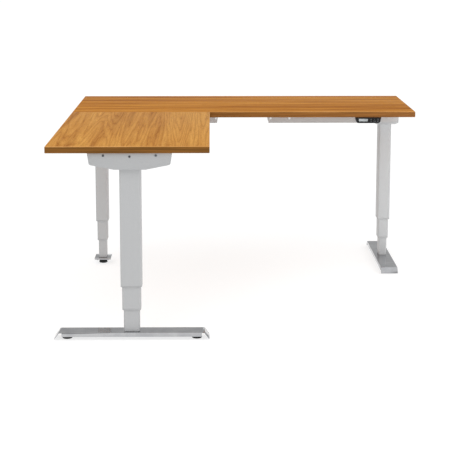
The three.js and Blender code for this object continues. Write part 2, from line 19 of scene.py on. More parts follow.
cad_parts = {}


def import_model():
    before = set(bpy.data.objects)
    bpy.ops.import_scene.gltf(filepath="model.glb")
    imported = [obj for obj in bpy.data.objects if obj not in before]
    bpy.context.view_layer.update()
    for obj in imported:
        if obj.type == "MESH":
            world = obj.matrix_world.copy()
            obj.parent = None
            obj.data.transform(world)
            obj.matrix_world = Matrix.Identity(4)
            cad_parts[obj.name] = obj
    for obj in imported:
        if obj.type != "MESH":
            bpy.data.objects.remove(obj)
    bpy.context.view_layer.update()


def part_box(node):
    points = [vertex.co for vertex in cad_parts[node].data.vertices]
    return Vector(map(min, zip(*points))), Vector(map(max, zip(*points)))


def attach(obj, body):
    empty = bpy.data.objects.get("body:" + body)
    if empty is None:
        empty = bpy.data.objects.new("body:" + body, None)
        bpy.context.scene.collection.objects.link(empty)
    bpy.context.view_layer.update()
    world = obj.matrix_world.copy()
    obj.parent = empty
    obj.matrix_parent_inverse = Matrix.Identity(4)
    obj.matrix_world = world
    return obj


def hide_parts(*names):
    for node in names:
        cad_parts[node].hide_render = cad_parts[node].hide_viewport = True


LOG = logging.getLogger("standing_desk")
MM = 0.001
DOWN = Vector((0, 0, -1))
# strength of each octave of finer patches beside the one before it
FINER_PATCHES = 0.55
# corners of a copied CAD mesh closer than this are one corner
MERGE_DISTANCE = 1e-6

Point2 = tuple[float, float]
Point3 = tuple[float, float, float]
Rgba = tuple[float, float, float, float]
Seat = tuple[Vector, Vector]


# ------------------------------------------------------------------------------------------
# Named options
# ------------------------------------------------------------------------------------------
class Grain(Enum):
    """Direction that the wood grain of a top runs in."""

    ALONG_X = "along_x"
    ALONG_Y = "along_y"


class Recess(Enum):
    """Drive recess in a screw head."""

    HEX = "hex"
    CROSS = "cross"


class Side(Enum):
    """Which end of a piece something belongs to."""

    LOW = -1
    HIGH = 1


# ------------------------------------------------------------------------------------------
# Colour and node helpers
# ------------------------------------------------------------------------------------------
def linear(hex_colour: str) -> Rgba:
    """Turn an sRGB hex colour such as "#c48a4a" into linear RGBA.

    Args:
        hex_colour: Six hex digits with a leading hash.

    Returns:
        Linear red, green, blue and an alpha of one.
    """
    digits = hex_colour.lstrip("#")
    parts = [int(digits[i : i + 2], 16) / 255 for i in (0, 2, 4)]
    lin = [c / 12.92 if c <= 0.04045 else ((c + 0.055) / 1.055) ** 2.4 for c in parts]
    return (lin[0], lin[1], lin[2], 1.0)


def add_node(
    tree: bpy.types.NodeTree,
    kind: str,
    settings: dict[str, Any] | None = None,
    inputs: dict[Any, Any] | None = None,
    stops: Sequence[tuple[float, str]] = (),
) -> bpy.types.Node:
    """Add one node, set its properties, and fill or link its inputs.

    Args:
        tree: Tree that gets the node.
        kind: Blender's type name for the node.
        settings: Node properties by name.
        inputs: Values or output sockets by input name or index.
        stops: Position and sRGB hex colour of each stop, where the node has a ramp.

    Returns:
        The new node.
    """
    node = tree.nodes.new(kind)
    for key, value in (settings or {}).items():
        setattr(node, key, value)
    for key, value in (inputs or {}).items():
        socket = node.inputs[key]
        if isinstance(value, bpy.types.NodeSocket):
            tree.links.new(value, socket)
        else:
            socket.default_value = value
    for index, (position, colour) in enumerate(stops):
        elements = node.color_ramp.elements
        element = elements[index] if index < 2 else elements.new(position)
        element.position = position
        element.color = linear(colour)
    return node


@dataclass(frozen=True)
class Patches:
    """Soft random patches, with their size along X, Y and Z and octaves of finer ones on top."""

    size_mm: Point3
    octaves: float = 3.0
    seed: Point3 = (0.0, 0.0, 0.0)

    def add_to(self, tree: bpy.types.NodeTree) -> bpy.types.NodeSocket:
        """Add the patches to a tree, on the piece's own coordinates.

        Args:
            tree: Tree that gets the nodes.

        Returns:
            Socket with a value round one half.
        """
        coords = add_node(tree, "ShaderNodeTexCoord").outputs["Object"]
        scale = [1 / (MM * size) for size in self.size_mm]
        placed = add_node(
            tree,
            "ShaderNodeMapping",
            inputs={"Vector": coords, "Scale": scale, "Location": self.seed},
        ).outputs["Vector"]
        texture = add_node(
            tree,
            "ShaderNodeTexNoise",
            inputs={
                "Vector": placed,
                "Scale": 1.0,
                "Detail": self.octaves,
                "Roughness": FINER_PATCHES,
            },
        )
        return texture.outputs["Fac"]


@dataclass(frozen=True)
class Relief:
    """Fine relief: its height, the share of it that shows, and its patches if it has its own."""

    height_mm: float
    share: float = 0.4
    patches: Patches | None = None


@dataclass(frozen=True)
class Surface:
    """What every finish shares: a name, and gloss and relief that follow one pattern."""

    name: str

    def new_tree(
        self, metallic: float = 0.0, specular: float = 0.5
    ) -> tuple[bpy.types.Material, bpy.types.NodeTree]:
        """Make the material and set how metallic and how mirror-like it is.

        Args:
            metallic: 1.0 for bare metal.
            specular: 0.5 for a smooth, clear surface.

        Returns:
            The material and its tree.
        """
        material = bpy.data.materials.new(self.name)
        material.use_nodes = True
        tree = material.node_tree
        shader = tree.nodes["Principled BSDF"]
        shader.inputs["Metallic"].default_value = metallic
        shader.inputs["Specular IOR Level"].default_value = specular
        return material, tree

    def cover(
        self,
        tree: bpy.types.NodeTree,
        colour: bpy.types.NodeSocket,
        pattern: bpy.types.NodeSocket,
        gloss: Point2,
        relief: Relief,
    ) -> None:
        """Link colour, roughness and relief to the shader.

        Args:
            tree: Tree of the material.
            colour: Base colour.
            pattern: Value that roughness and relief follow.
            gloss: Roughness where the pattern is 0 and where it is 1.
            relief: Height of the relief and the share of it that shows.
        """
        shader = tree.nodes["Principled BSDF"]
        tree.links.new(colour, shader.inputs["Base Color"])
        rough = add_node(
            tree, "ShaderNodeMapRange", inputs={"Value": pattern, "To Min": gloss[0], "To Max": gloss[1]}
        )
        tree.links.new(rough.outputs[0], shader.inputs["Roughness"])
        bump = add_node(
            tree,
            "ShaderNodeBump",
            inputs={
                "Strength": relief.share,
                "Distance": relief.height_mm * MM,
                "Height": pattern,
            },
        )
        tree.links.new(bump.outputs["Normal"], shader.inputs["Normal"])

    def two_tone(
        self,
        tones: Sequence[tuple[float, str]],
        patches: Patches,
        gloss: Point2,
        relief: Relief,
        metallic: float = 0.0,
        specular: float = 0.5,
    ) -> bpy.types.Material:
        """Build a finish of two tones in soft patches.

        Args:
            tones: Level of the patches and sRGB hex colour of each tone.
            patches: Patches that the tones follow.
            gloss: Lowest and highest roughness.
            relief: Relief, which follows the tones' patches if it has none of its own.
            metallic: 1.0 for bare metal.
            specular: 0.5 for a smooth, clear surface.

        Returns:
            The finished material.
        """
        material, tree = self.new_tree(metallic, specular)
        value = patches.add_to(tree)
        colour = add_node(
            tree, "ShaderNodeValToRGB", inputs={"Fac": value}, stops=tones
        ).outputs["Color"]
        pattern = relief.patches.add_to(tree) if relief.patches else value
        self.cover(tree, colour, pattern, gloss, relief)
        return material


# ------------------------------------------------------------------------------------------
# Finishes
# ------------------------------------------------------------------------------------------
@dataclass(frozen=True)
class OakLaminate(Surface):
    """Oak decor laminate, pressed with a pore texture and satin sealed.

    Gives the eye growth rings cut at a shallow angle, which close into long arches, over light
    and dark bands of honey brown, with short dark pores along the grain and a soft broken gloss.
    """

    grain: Grain = Grain.ALONG_X
    seed: Point3 = (0.0, 0.0, 0.0)
    pale: str = "#daa150"
    honey: str = "#c5883e"
    dark: str = "#945818"
    pore: str = "#774410"
    # width across and length along the grain
    arch_mm: Point2 = (105.0, 2800.0)
    ripple_mm: Point2 = (14.0, 360.0)
    band_mm: Point2 = (46.0, 1900.0)
    fibre_mm: Point2 = (3.5, 110.0)
    # real pores are 0.3 mm wide, drawn coarser so that they show
    pore_mm: Point2 = (1.6, 26.0)
    ring_count: float = 17.0
    ripple_share: float = 0.09
    ring_strength: float = 0.5
    # where dark, honey, pale and honey stand across a growth ring and across a band
    ring_stops: tuple[float, ...] = (0.0, 0.22, 0.62, 0.96)
    band_stops: tuple[float, ...] = (0.34, 0.47, 0.60, 0.72)
    fibre_level: float = 0.35
    fibre_share: float = 0.5
    pore_level: Point2 = (0.58, 0.74)
    pore_share: float = 0.55
    gloss: Point2 = (0.42, 0.56)
    # a matt decor foil reflects a small part of what clear lacquer does
    specular: float = 0.015
    relief: Relief = Relief(0.12, 0.35)

    def _along(self, tree: bpy.types.NodeTree, size: Point2, octaves: float) -> bpy.types.NodeSocket:
        """Patches stretched along the grain.

        Args:
            tree: Tree of the material.
            size: Width across and length along the grain, in millimetres.
            octaves: Octaves of finer patches.

        Returns:
            Socket with the value.
        """
        width, length = size
        plan = (length, width) if self.grain is Grain.ALONG_X else (width, length)
        return Patches((*plan, width), octaves, self.seed).add_to(tree)

    def _ring(self, tree: bpy.types.NodeTree) -> bpy.types.NodeSocket:
        """Place within a growth ring: a rippled height is counted off in rings.

        Args:
            tree: Tree of the material.

        Returns:
            Socket that runs from 0 to 1 across each ring.
        """
        arch = self._along(tree, self.arch_mm, 1.0)
        ripple = self._along(tree, self.ripple_mm, 2.0)
        height = add_node(
            tree,
            "ShaderNodeMath",
            {"operation": "MULTIPLY_ADD"},
            {0: ripple, 1: self.ripple_share, 2: arch},
        ).outputs[0]
        counted = add_node(
            tree, "ShaderNodeMath", {"operation": "MULTIPLY"}, {0: height, 1: self.ring_count}
        ).outputs[0]
        return add_node(tree, "ShaderNodeMath", {"operation": "FRACT"}, {0: counted}).outputs[0]

    def build(self) -> bpy.types.Material:
        """Build the material.

        Returns:
            Material whose pattern follows the top's own millimetres.
        """
        material, tree = self.new_tree(specular=self.specular)
        tones = (self.dark, self.honey, self.pale, self.honey)
        rings, bands = (
            add_node(
                tree, "ShaderNodeValToRGB", inputs={"Fac": value}, stops=list(zip(stops, tones))
            ).outputs["Color"]
            for value, stops in (
                (self._ring(tree), self.ring_stops),
                (self._along(tree, self.band_mm, 3.0), self.band_stops),
            )
        )
        fibres = add_node(
            tree,
            "ShaderNodeMapRange",
            inputs={
                "Value": self._along(tree, self.fibre_mm, 3.0),
                "From Min": self.fibre_level,
                "To Max": self.fibre_share,
            },
        ).outputs[0]
        pattern = self._along(tree, self.pore_mm, 1.0)
        pores = add_node(
            tree,
            "ShaderNodeMapRange",
            inputs={
                "Value": pattern,
                "From Min": self.pore_level[0],
                "From Max": self.pore_level[1],
                "To Max": self.pore_share,
            },
        ).outputs[0]
        colour = bands
        for share, over in (
            (self.ring_strength, rings),
            (fibres, linear(self.dark)),
            (pores, linear(self.pore)),
        ):
            colour = add_node(
                tree, "ShaderNodeMix", {"data_type": "RGBA"}, {0: share, 6: colour, 7: over}
            ).outputs[2]
        self.cover(tree, colour, pattern, self.gloss, self.relief)
        return material


@dataclass(frozen=True)
class OakEdgeBand(Surface):
    """ABS edge banding printed as oak, trimmed and scraped.

    Gives the eye a darker, straighter grain along the edge with faint scraper marks; the darker tone is
    partly the band's own colour and partly painted shade, for edges lit less than the top from above.
    """

    pale: str = "#8b5820"
    dark: str = "#633b0d"
    streaks: Patches = Patches((220.0, 220.0, 3.5), 4.0)
    gloss: Point2 = (0.45, 0.6)
    scrape: Relief = Relief(0.1, 0.3)
    specular: float = 0.2

    def build(self) -> bpy.types.Material:
        """Material with long thin streaks at edge level."""
        tones = ((0.32, self.dark), (0.66, self.pale))
        return self.two_tone(tones, self.streaks, self.gloss, self.scrape, specular=self.specular)


@dataclass(frozen=True)
class PowderCoat(Surface):
    """Silver grey powder coat, sprayed and baked over steel.

    Gives the eye an even satin grey with a slight metallic flake and fine orange peel.
    """

    colour: str = "#b5b6b7"
    flake: str = "#a9aaab"
    metallic: float = 0.15
    gloss: Point2 = (0.38, 0.48)
    # flakes are far finer than a millimetre, drawn coarser so that they show
    flakes: Patches = Patches((0.6, 0.6, 0.6), 1.0)
    peel: Relief = Relief(0.03, 0.3, Patches((1.6, 1.6, 1.6), 2.0))

    def build(self) -> bpy.types.Material:
        """Material with flake and orange peel."""
        tones = ((0.35, self.flake), (0.62, self.colour))
        return self.two_tone(tones, self.flakes, self.gloss, self.peel, self.metallic)


@dataclass(frozen=True)
class ChromePlate(Surface):
    """Polished chrome plate over pressed sheet steel.

    Gives the eye mirror reflections, a trace of ripple from pressing and faint wiping haze.
    """

    colour: str = "#bcbdbf"
    haze: str = "#adaeb1"
    gloss: Point2 = (0.04, 0.12)
    waves: Patches = Patches((60.0, 60.0, 60.0), 3.0)
    ripple: Relief = Relief(0.2, 0.25)

    def build(self) -> bpy.types.Material:
        """Material with a nearly clean mirror."""
        tones = ((0.38, self.haze), (0.60, self.colour))
        return self.two_tone(tones, self.waves, self.gloss, self.ripple, metallic=1.0)


@dataclass(frozen=True)
class ZincSteel(Surface):
    """Bright zinc plated steel, drawn and barrel plated.

    Gives the eye a dull silver with a faint drawn direction and cloudy plating.
    """

    colour: str = "#9a9ea2"
    shade: str = "#83888c"
    gloss: Point2 = (0.26, 0.44)
    clouds: Patches = Patches((18.0, 18.0, 18.0))
    drawn: Relief = Relief(0.02, 0.3, Patches((1.2, 1.2, 17.0), 2.0))

    def build(self) -> bpy.types.Material:
        """Metal with cloudy plating and drawn lines."""
        tones = ((0.35, self.shade), (0.65, self.colour))
        return self.two_tone(tones, self.clouds, self.gloss, self.drawn, metallic=1.0)


@dataclass(frozen=True)
class MouldedPlastic(Surface):
    """Injection moulded plastic with a spark eroded texture.

    Gives the eye a fine even grain that breaks the highlight, and slightly uneven depth of
    colour where the plastic has been handled.
    """

    colour: str = "#0d0d0e"
    worn: str = "#161617"
    gloss: Point2 = (0.42, 0.6)
    handling: Patches = Patches((30.0, 30.0, 30.0), 2.0)
    grain: Relief = Relief(0.05, 0.5, Patches((0.8, 0.8, 0.8), 2.0))
    # the eroded texture breaks most of the mirror part of the gloss
    specular: float = 0.25

    def build(self) -> bpy.types.Material:
        """Material with mould texture at real scale."""
        tones = ((0.35, self.colour), (0.75, self.worn))
        return self.two_tone(tones, self.handling, self.gloss, self.grain, specular=self.specular)


@dataclass(frozen=True)
class GlideRubber(Surface):
    """Black nitrile rubber, compression moulded.

    Gives the eye a deep matt black with a dusty bloom.
    """

    colour: str = "#0c0c0d"
    bloom: str = "#1e1e1f"
    gloss: Point2 = (0.6, 0.8)
    dust: Patches = Patches((9.0, 9.0, 9.0), 4.0)
    grain: Relief = Relief(0.06, patches=Patches((0.9, 0.9, 0.9)))

    def build(self) -> bpy.types.Material:
        """Matt rubber."""
        tones = ((0.4, self.colour), (0.8, self.bloom))
        return self.two_tone(tones, self.dust, self.gloss, self.grain)


@dataclass(frozen=True)
class DisplayWindow(Surface):
    """Clear acrylic window over a reflective display, moulded and back printed.

    Gives the eye a silver grey panel with a soft gloss and a faint gradient.
    """

    pale: str = "#aeb2b4"
    grey: str = "#8d9193"
    gloss: Point2 = (0.12, 0.2)
    fade: Patches = Patches((40.0, 40.0, 9.0), 1.0)
    waver: Relief = Relief(0.02, 0.2)

    def build(self) -> bpy.types.Material:
        """Glossy silver grey panel."""
        tones = ((0.35, self.grey), (0.65, self.pale))
        return self.two_tone(tones, self.fade, self.gloss, self.waver)


@dataclass(frozen=True)
class PrintedMark(Surface):
    """White pad printed ink on a key.

    Gives the eye a flat off-white with slightly uneven cover.
    """

    colour: str = "#aeb0b1"
    thin: str = "#8e9091"
    gloss: Point2 = (0.5, 0.65)
    ink: Patches = Patches((0.8, 0.8, 0.8), 2.0)
    film: Relief = Relief(0.02, 0.2)

    def build(self) -> bpy.types.Material:
        """Matt white ink."""
        tones = ((0.3, self.thin), (0.6, self.colour))
        return self.two_tone(tones, self.ink, self.gloss, self.film)


@dataclass(frozen=True)
class StudioFloor(Surface):
    """Matt white floor paper, lit from behind like a light table.

    Gives the eye an even white that only contact shadows darken.
    """

    colour: str = "#a0a0a0"
    glow: float = 0.72

    def build(self) -> bpy.types.Material:
        """Build the material.

        Returns:
            Matt white that gives a little light of its own.
        """
        material, tree = self.new_tree(specular=0.0)
        shader = tree.nodes["Principled BSDF"]
        shader.inputs["Base Color"].default_value = linear(self.colour)
        shader.inputs["Roughness"].default_value = 1.0
        shader.inputs["Emission Color"].default_value = (1.0, 1.0, 1.0, 1.0)
        shader.inputs["Emission Strength"].default_value = self.glow
        return material


class Finishes:
    """All finishes of the desk, built once."""

    def __init__(self) -> None:
        """Build every material."""
        self.main_oak = OakLaminate(
            "oak_laminate_main",
            Grain.ALONG_X,
            (0.3, 2.7, 0.0),
            pale="#d4943e",
            honey="#bb7828",
            dark="#854605",
            band_mm=(30.0, 760.0),
            ring_strength=0.28,
        ).build()
        self.return_oak = OakLaminate(
            "oak_laminate_return", Grain.ALONG_Y, (4.1, 1.3, 0.0)
        ).build()
        # edge bands: partly their own darker colour, partly painted shade for the front edges, which are
        # lit less than the tops; the return's band is darker still
        self.main_edge = OakEdgeBand("oak_edge_band_main").build()
        self.return_edge = OakEdgeBand(
            "oak_edge_band_return", pale="#82541a", dark="#5a390a"
        ).build()
        # paler oak for the upward-facing rounded edge of each top: a painted highlight of the light from
        # above
        self.upper_edge_highlight = OakEdgeBand("oak_scraped_arris", pale="#e0ac6c", dark="#bd8344").build()
        self.column = PowderCoat("silver_powder_coat_column").build()
        self.frame = PowderCoat("silver_powder_coat_frame", colour="#adaeaf", flake="#a2a3a4").build()
        self.chrome = ChromePlate("polished_chrome_plate").build()
        self.zinc = ZincSteel("zinc_plated_steel").build()
        self.bright = ZincSteel(
            "nickel_plated_steel", colour="#e6e7e8", shade="#cfd1d3", gloss=(0.18, 0.3)
        ).build()
        # dark steel for the bracket screws: painted shade, standing for the shadowed screw holes on the
        # bracket
        self.hole_shade_steel = ZincSteel(
            "black_oxide_steel", colour="#6a6c6f", shade="#48494c", gloss=(0.4, 0.55)
        ).build()
        self.collar = MouldedPlastic(
            "grey_acetal_guide", colour="#a9aaab", worn="#b4b5b6", gloss=(0.35, 0.5)
        ).build()
        self.black = MouldedPlastic("black_moulded_abs").build()
        self.keys = MouldedPlastic(
            "black_key_abs", colour="#101011", worn="#1c1c1e", gloss=(0.3, 0.45)
        ).build()
        self.drive = MouldedPlastic(
            "black_glass_filled_nylon", colour="#1b1b1d", worn="#29292b", gloss=(0.52, 0.7)
        ).build()
        self.rubber = GlideRubber("black_nitrile_rubber").build()
        self.display = DisplayWindow("clear_acrylic_window").build()
        self.mark = PrintedMark("white_pad_print_ink").build()


# ------------------------------------------------------------------------------------------
# Mesh helpers
# ------------------------------------------------------------------------------------------
def rounded_rectangle(width: float, depth: float, radius: float, steps: int = 8) -> list[Point2]:
    """Points of a rounded rectangle round the origin, counter-clockwise.

    Args:
        width: Size along the first axis.
        depth: Size along the second axis.
        radius: Corner radius.
        steps: Segments in each corner.

    Returns:
        Corner points in order.
    """
    radius = max(radius, 1e-5)
    corners = (
        (width / 2 - radius, depth / 2 - radius, 0.0),
        (-width / 2 + radius, depth / 2 - radius, 90.0),
        (-width / 2 + radius, -depth / 2 + radius, 180.0),
        (width / 2 - radius, -depth / 2 + radius, 270.0),
    )
    points = []
    for x, y, start in corners:
        for i in range(steps + 1):
            angle = math.radians(start + 90.0 * i / steps)
            points.append((x + radius * math.cos(angle), y + radius * math.sin(angle)))
    return points


def rounded_polygon(points: Sequence[Point2], radii: Sequence[float], steps: int = 6) -> list[Point2]:
    """Round the corners of a polygon.

    Args:
        points: Corners in counter-clockwise order.
        radii: Radius of each corner.
        steps: Segments in each rounded corner.

    Returns:
        Points of the rounded outline.
    """
    out: list[Point2] = []
    count = len(points)
    for i, (corner, radius) in enumerate(zip(points, radii)):
        here = Vector(corner)
        before = (Vector(points[i - 1]) - here).normalized()
        after = (Vector(points[(i + 1) % count]) - here).normalized()
        if radius <= 0:
            out.append((here.x, here.y))
            continue
        half = before.angle(after) / 2
        reach = radius / math.tan(half)
        start = here + before * reach
        end = here + after * reach
        centre = here + (before + after).normalized() * (radius / math.sin(half))
        first = math.atan2(start.y - centre.y, start.x - centre.x)
        last = math.atan2(end.y - centre.y, end.x - centre.x)
        turn = (last - first + math.pi) % (2 * math.pi) - math.pi
        for k in range(steps + 1):
            angle = first + turn * k / steps
            out.append((centre.x + radius * math.cos(angle), centre.y + radius * math.sin(angle)))
    return out


def new_object(name: str, mesh_data: bmesh.types.BMesh) -> bpy.types.Object:
    """Turn a bmesh into a linked object at the origin.

    Args:
        name: Object's name.
        mesh_data: Mesh, freed afterwards.

    Returns:
        The new object.
    """
    mesh = bpy.data.meshes.new(name)
    mesh_data.to_mesh(mesh)
    mesh_data.free()
    obj = bpy.data.objects.new(name, mesh)
    bpy.context.scene.collection.objects.link(obj)
    return obj


def loft(
    rings: Sequence[Sequence[Vector]], closed_loop: bool = False, caps: bool = True
) -> bmesh.types.BMesh:
    """Skin a list of equal rings.

    Args:
        rings: Rings of points, counter-clockwise seen from the loft's far end.
        closed_loop: Join the last ring to the first, as for the wall of a tube.
        caps: Close the first and last ring with a face.

    Returns:
        The skinned mesh.
    """
    bm = bmesh.new()
    rows = [[bm.verts.new(p) for p in ring] for ring in rings]
    pairs = list(zip(rows, rows[1:]))
    if closed_loop:
        pairs.append((rows[-1], rows[0]))
    for low, high in pairs:
        count = len(low)
        for i in range(count):
            j = (i + 1) % count
            bm.faces.new((low[i], low[j], high[j], high[i]))
    if caps and not closed_loop:
        bm.faces.new(list(reversed(rows[0])))
        bm.faces.new(rows[-1])
    return bm


def rounded_edge(level: float, radius: float, angles: Sequence[float], side: Side) -> list[Point2]:
    """(inset, level) points of one rounded edge of a slab.

    Args:
        level: Level of the face beside the edge.
        radius: Radius of the edge.
        angles: Steps of the quarter turn, in radians.
        side: Lower edge or upper edge.

    Returns:
        Points from the lowest to the highest.
    """
    if side is Side.LOW:
        return [(radius - radius * math.sin(a), level + radius - radius * math.cos(a)) for a in angles]
    return [(radius - radius * math.cos(a), level - radius + radius * math.sin(a)) for a in angles]


def wall_loft(
    low: Vector, high: Vector, radius: float, profile: Sequence[Point2], closed_loop: bool = False
) -> bmesh.types.BMesh:
    """Sweep an (inset, level) profile round a box's plan, a rounded rectangle.

    Args:
        low: Lowest corner of the box.
        high: Highest corner of the box.
        radius: Outer corner radius.
        profile: Inset from the outside and level of each ring.
        closed_loop: True for a hollow piece, False for a capped one.

    Returns:
        The swept mesh.
    """
    size = high - low
    centre = (low + high) / 2
    rings = []
    for inset, level in profile:
        ring = rounded_rectangle(size.x - 2 * inset, size.y - 2 * inset, radius - inset)
        rings.append([Vector((centre.x + x, centre.y + y, level)) for x, y in ring])
    return loft(rings, closed_loop=closed_loop)


def flat_plate(low: Vector, high: Vector, radius: float, chamfer: float) -> bmesh.types.BMesh:
    """Flat plate that fills a box, with rounded corners and chamfered edges.

    Args:
        low: Lowest corner of the box.
        high: Highest corner of the box.
        radius: Corner radius.
        chamfer: Width of the chamfers.

    Returns:
        The plate's mesh.
    """
    walls = [(0.0, low.z + chamfer), (0.0, high.z - chamfer)]
    return wall_loft(low, high, radius, [(chamfer, low.z), *walls, (chamfer, high.z)])


def lathe(
    centre: Point2, profile: Sequence[Point2], steps: int = 48, closed_loop: bool = False
) -> bmesh.types.BMesh:
    """Turn a (radius, level) profile round an upright axis.

    Args:
        centre: Plan centre.
        profile: Radius and level, bottom to top.
        steps: Segments round the axis.
        closed_loop: True when the profile closes on itself, as for a tube.

    Returns:
        The turned mesh.
    """
    rings = []
    for radius, level in profile:
        ring = []
        for i in range(steps):
            angle = 2 * math.pi * i / steps
            x = centre[0] + radius * math.cos(angle)
            y = centre[1] + radius * math.sin(angle)
            ring.append(Vector((x, y, level)))
        rings.append(ring)
    return loft(rings, closed_loop=closed_loop)


def join_meshes(parts: Iterable[bmesh.types.BMesh]) -> bmesh.types.BMesh:
    """Put several meshes into one.

    Args:
        parts: Meshes, freed afterwards.

    Returns:
        One mesh with all of them.
    """
    whole = bmesh.new()
    for part in parts:
        mesh = bpy.data.meshes.new("part")
        part.to_mesh(mesh)
        part.free()
        whole.from_mesh(mesh)
        bpy.data.meshes.remove(mesh)
    return whole


def extrude_outline(
    outline: Sequence[Point2], low: float, high: float, frame: Matrix, bevel: float = 0.0
) -> bmesh.types.BMesh:
    """Extrude an outline along the local Z axis and place it.

    Args:
        outline: Points in the local XY plane, counter-clockwise.
        low: Local level of the first face.
        high: Local level of the last face.
        frame: Matrix from local to desk frame.
        bevel: Small chamfer at both faces.

    Returns:
        The placed mesh.
    """
    count = len(outline)
    middle = Vector((sum(x for x, _ in outline) / count, sum(y for _, y in outline) / count))

    def ring(level: float, inset: float) -> list[Vector]:
        """Ring of the outline at one level.

        Args:
            level: Local level of the ring.
            inset: How far it is pulled in towards the middle.

        Returns:
            Placed points.
        """
        points = []
        for x, y in outline:
            away = Vector((x, y)) - middle
            pull = away.normalized() * inset if away.length > 1e-9 else Vector((0.0, 0.0))
            points.append(frame @ Vector((x - pull.x, y - pull.y, level)))
        return points

    if bevel > 0:
        rings = [
            ring(low, bevel),
            ring(low + bevel, 0.0),
            ring(high - bevel, 0.0),
            ring(high, bevel),
        ]
    else:
        rings = [ring(low, 0.0), ring(high, 0.0)]
    return loft(rings)


def facing_user(low: Vector, high: Vector) -> Matrix:
    """Frame at the middle of a box, with Z towards the user and Y up.

    Args:
        low: Lowest corner of the box.
        high: Highest corner of the box.

    Returns:
        Matrix from local to desk frame; its Z runs against the desk's Y from the desk's origin.
    """
    centre = (low + high) / 2
    return Matrix(
        (
            (1.0, 0.0, 0.0, centre.x),
            (0.0, 0.0, -1.0, 0.0),
            (0.0, 1.0, 0.0, centre.z),
            (0.0, 0.0, 0.0, 1.0),
        )
    )


def bevel_edges(obj: bpy.types.Object, width: float, segments: int = 3, angle: float = 30) -> None:
    """Round sharp edges with a Bevel modifier.

    Args:
        obj: Object to round.
        width: Bevel width in metres.
        segments: Segments of the rounding.
        angle: Edges sharper than this angle, in degrees, are rounded.
    """
    modifier = obj.modifiers.new("edge_rounding", "BEVEL")
    modifier.width = width
    modifier.segments = segments
    modifier.limit_method = "ANGLE"
    modifier.angle_limit = math.radians(angle)
    modifier.harden_normals = True


def fold_sheet(obj: bpy.types.Object, thickness: float, bend: float, steps: int, angle: float) -> None:
    """Give a folded surface the wall of a sheet, inwards, and round its bends.

    Args:
        obj: Surface whose faces point outwards.
        thickness: Thickness of the sheet.
        bend: Width of the rounding.
        steps: Segments of the rounding.
        angle: Edges sharper than this angle, in degrees, are rounded.
    """
    wall = obj.modifiers.new("sheet", "SOLIDIFY")
    wall.thickness = thickness
    wall.offset = -1.0
    wall.use_even_offset = True
    bevel_edges(obj, bend, steps, angle)
    bake_modifiers(obj)
    shade(obj, 30)


def merged_copy(node: str, name: str) -> bpy.types.Object:
    """Copy of a CAD node's mesh with its corners merged and its flat faces whole.

    Args:
        node: CAD node's name.
        name: Name of the copy.

    Returns:
        The copy, at the origin.
    """
    bm = bmesh.new()
    bm.from_mesh(bpy.data.objects[node].data)
    bmesh.ops.remove_doubles(bm, verts=bm.verts, dist=MERGE_DISTANCE)
    bmesh.ops.dissolve_limit(bm, angle_limit=math.radians(1.0), verts=bm.verts, edges=bm.edges)
    return new_object(name, bm)


def shade(obj: bpy.types.Object, angle: float = 35) -> None:
    """Smooth shading with sharp edges kept.

    Args:
        obj: Object to shade.
        angle: Edges sharper than this, in degrees, stay sharp.
    """
    obj.data.shade_smooth()
    obj.data.set_sharp_from_angle(angle=math.radians(angle))


def bake_modifiers(obj: bpy.types.Object) -> None:
    """Replace an object's mesh by its evaluated one and remove its modifiers.

    Args:
        obj: Object with live modifiers.
    """
    bpy.context.view_layer.update()
    depsgraph = bpy.context.evaluated_depsgraph_get()
    mesh = bpy.data.meshes.new_from_object(obj.evaluated_get(depsgraph), depsgraph=depsgraph)
    obj.modifiers.clear()
    old = obj.data
    obj.data = mesh
    mesh.name = obj.name
    bpy.data.meshes.remove(old)


def dress(
    obj: bpy.types.Object,
    body: str,
    materials: Sequence[bpy.types.Material],
    replaces: Sequence[str] = (),
) -> bpy.types.Object:
    """Give a finished piece its materials and body, and hide the CAD nodes it stands for.

    Args:
        obj: Finished piece at the origin.
        body: CAD body it rides on.
        materials: Materials in slot order; kept as they are if the mesh has its own.
        replaces: CAD nodes it stands for.

    Returns:
        The same piece.
    """
    if materials:
        indices = [face.material_index for face in obj.data.polygons]
        obj.data.materials.clear()
        for material in materials:
            obj.data.materials.append(material)
        obj.data.polygons.foreach_set("material_index", indices)
    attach(obj, body)
    if replaces:
        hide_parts(*replaces)
    LOG.info("built %s on %s, %d faces", obj.name, body, len(obj.data.polygons))
    return obj


def dress_node(node: str, materials: Sequence[bpy.types.Material]) -> None:
    """Give a carried-over CAD node its finish.

    Args:
        node: CAD node's name.
        materials: Materials for it.
    """
    data = bpy.data.objects[node].data
    data.materials.clear()
    for material in materials:
        data.materials.append(material)
    LOG.info("dressed %s", node)


# ------------------------------------------------------------------------------------------
# Geometry Nodes trees
# ------------------------------------------------------------------------------------------
def new_geometry_tree(name: str, sockets: Sequence[tuple[str, str]]) -> bpy.types.NodeTree:
    """New Geometry Nodes tree with a geometry in and out and named inputs.

    Args:
        name: Tree's name.
        sockets: Name and socket type of each extra input.

    Returns:
        The empty tree.
    """
    tree = bpy.data.node_groups.new(name, "GeometryNodeTree")
    tree.interface.new_socket("Geometry", in_out="INPUT", socket_type="NodeSocketGeometry")
    for label, kind in sockets:
        tree.interface.new_socket(label, in_out="INPUT", socket_type=kind)
    tree.interface.new_socket("Geometry", in_out="OUTPUT", socket_type="NodeSocketGeometry")
    return tree


def run_tree(
    obj: bpy.types.Object, tree: bpy.types.NodeTree, values: dict[str, Any]
) -> bpy.types.Object:
    """Run a tree on an object and keep the result as a plain mesh.

    Args:
        obj: Object that the tree reads.
        tree: Tree to run.
        values: Input values by name.

    Returns:
        The same object with its mesh replaced.
    """
    modifier = obj.modifiers.new(tree.name, "NODES")
    modifier.node_group = tree
    for item in tree.interface.items_tree:
        if item.in_out == "INPUT" and item.name in values:
            modifier[item.identifier] = values[item.name]
    bake_modifiers(obj)
    return obj


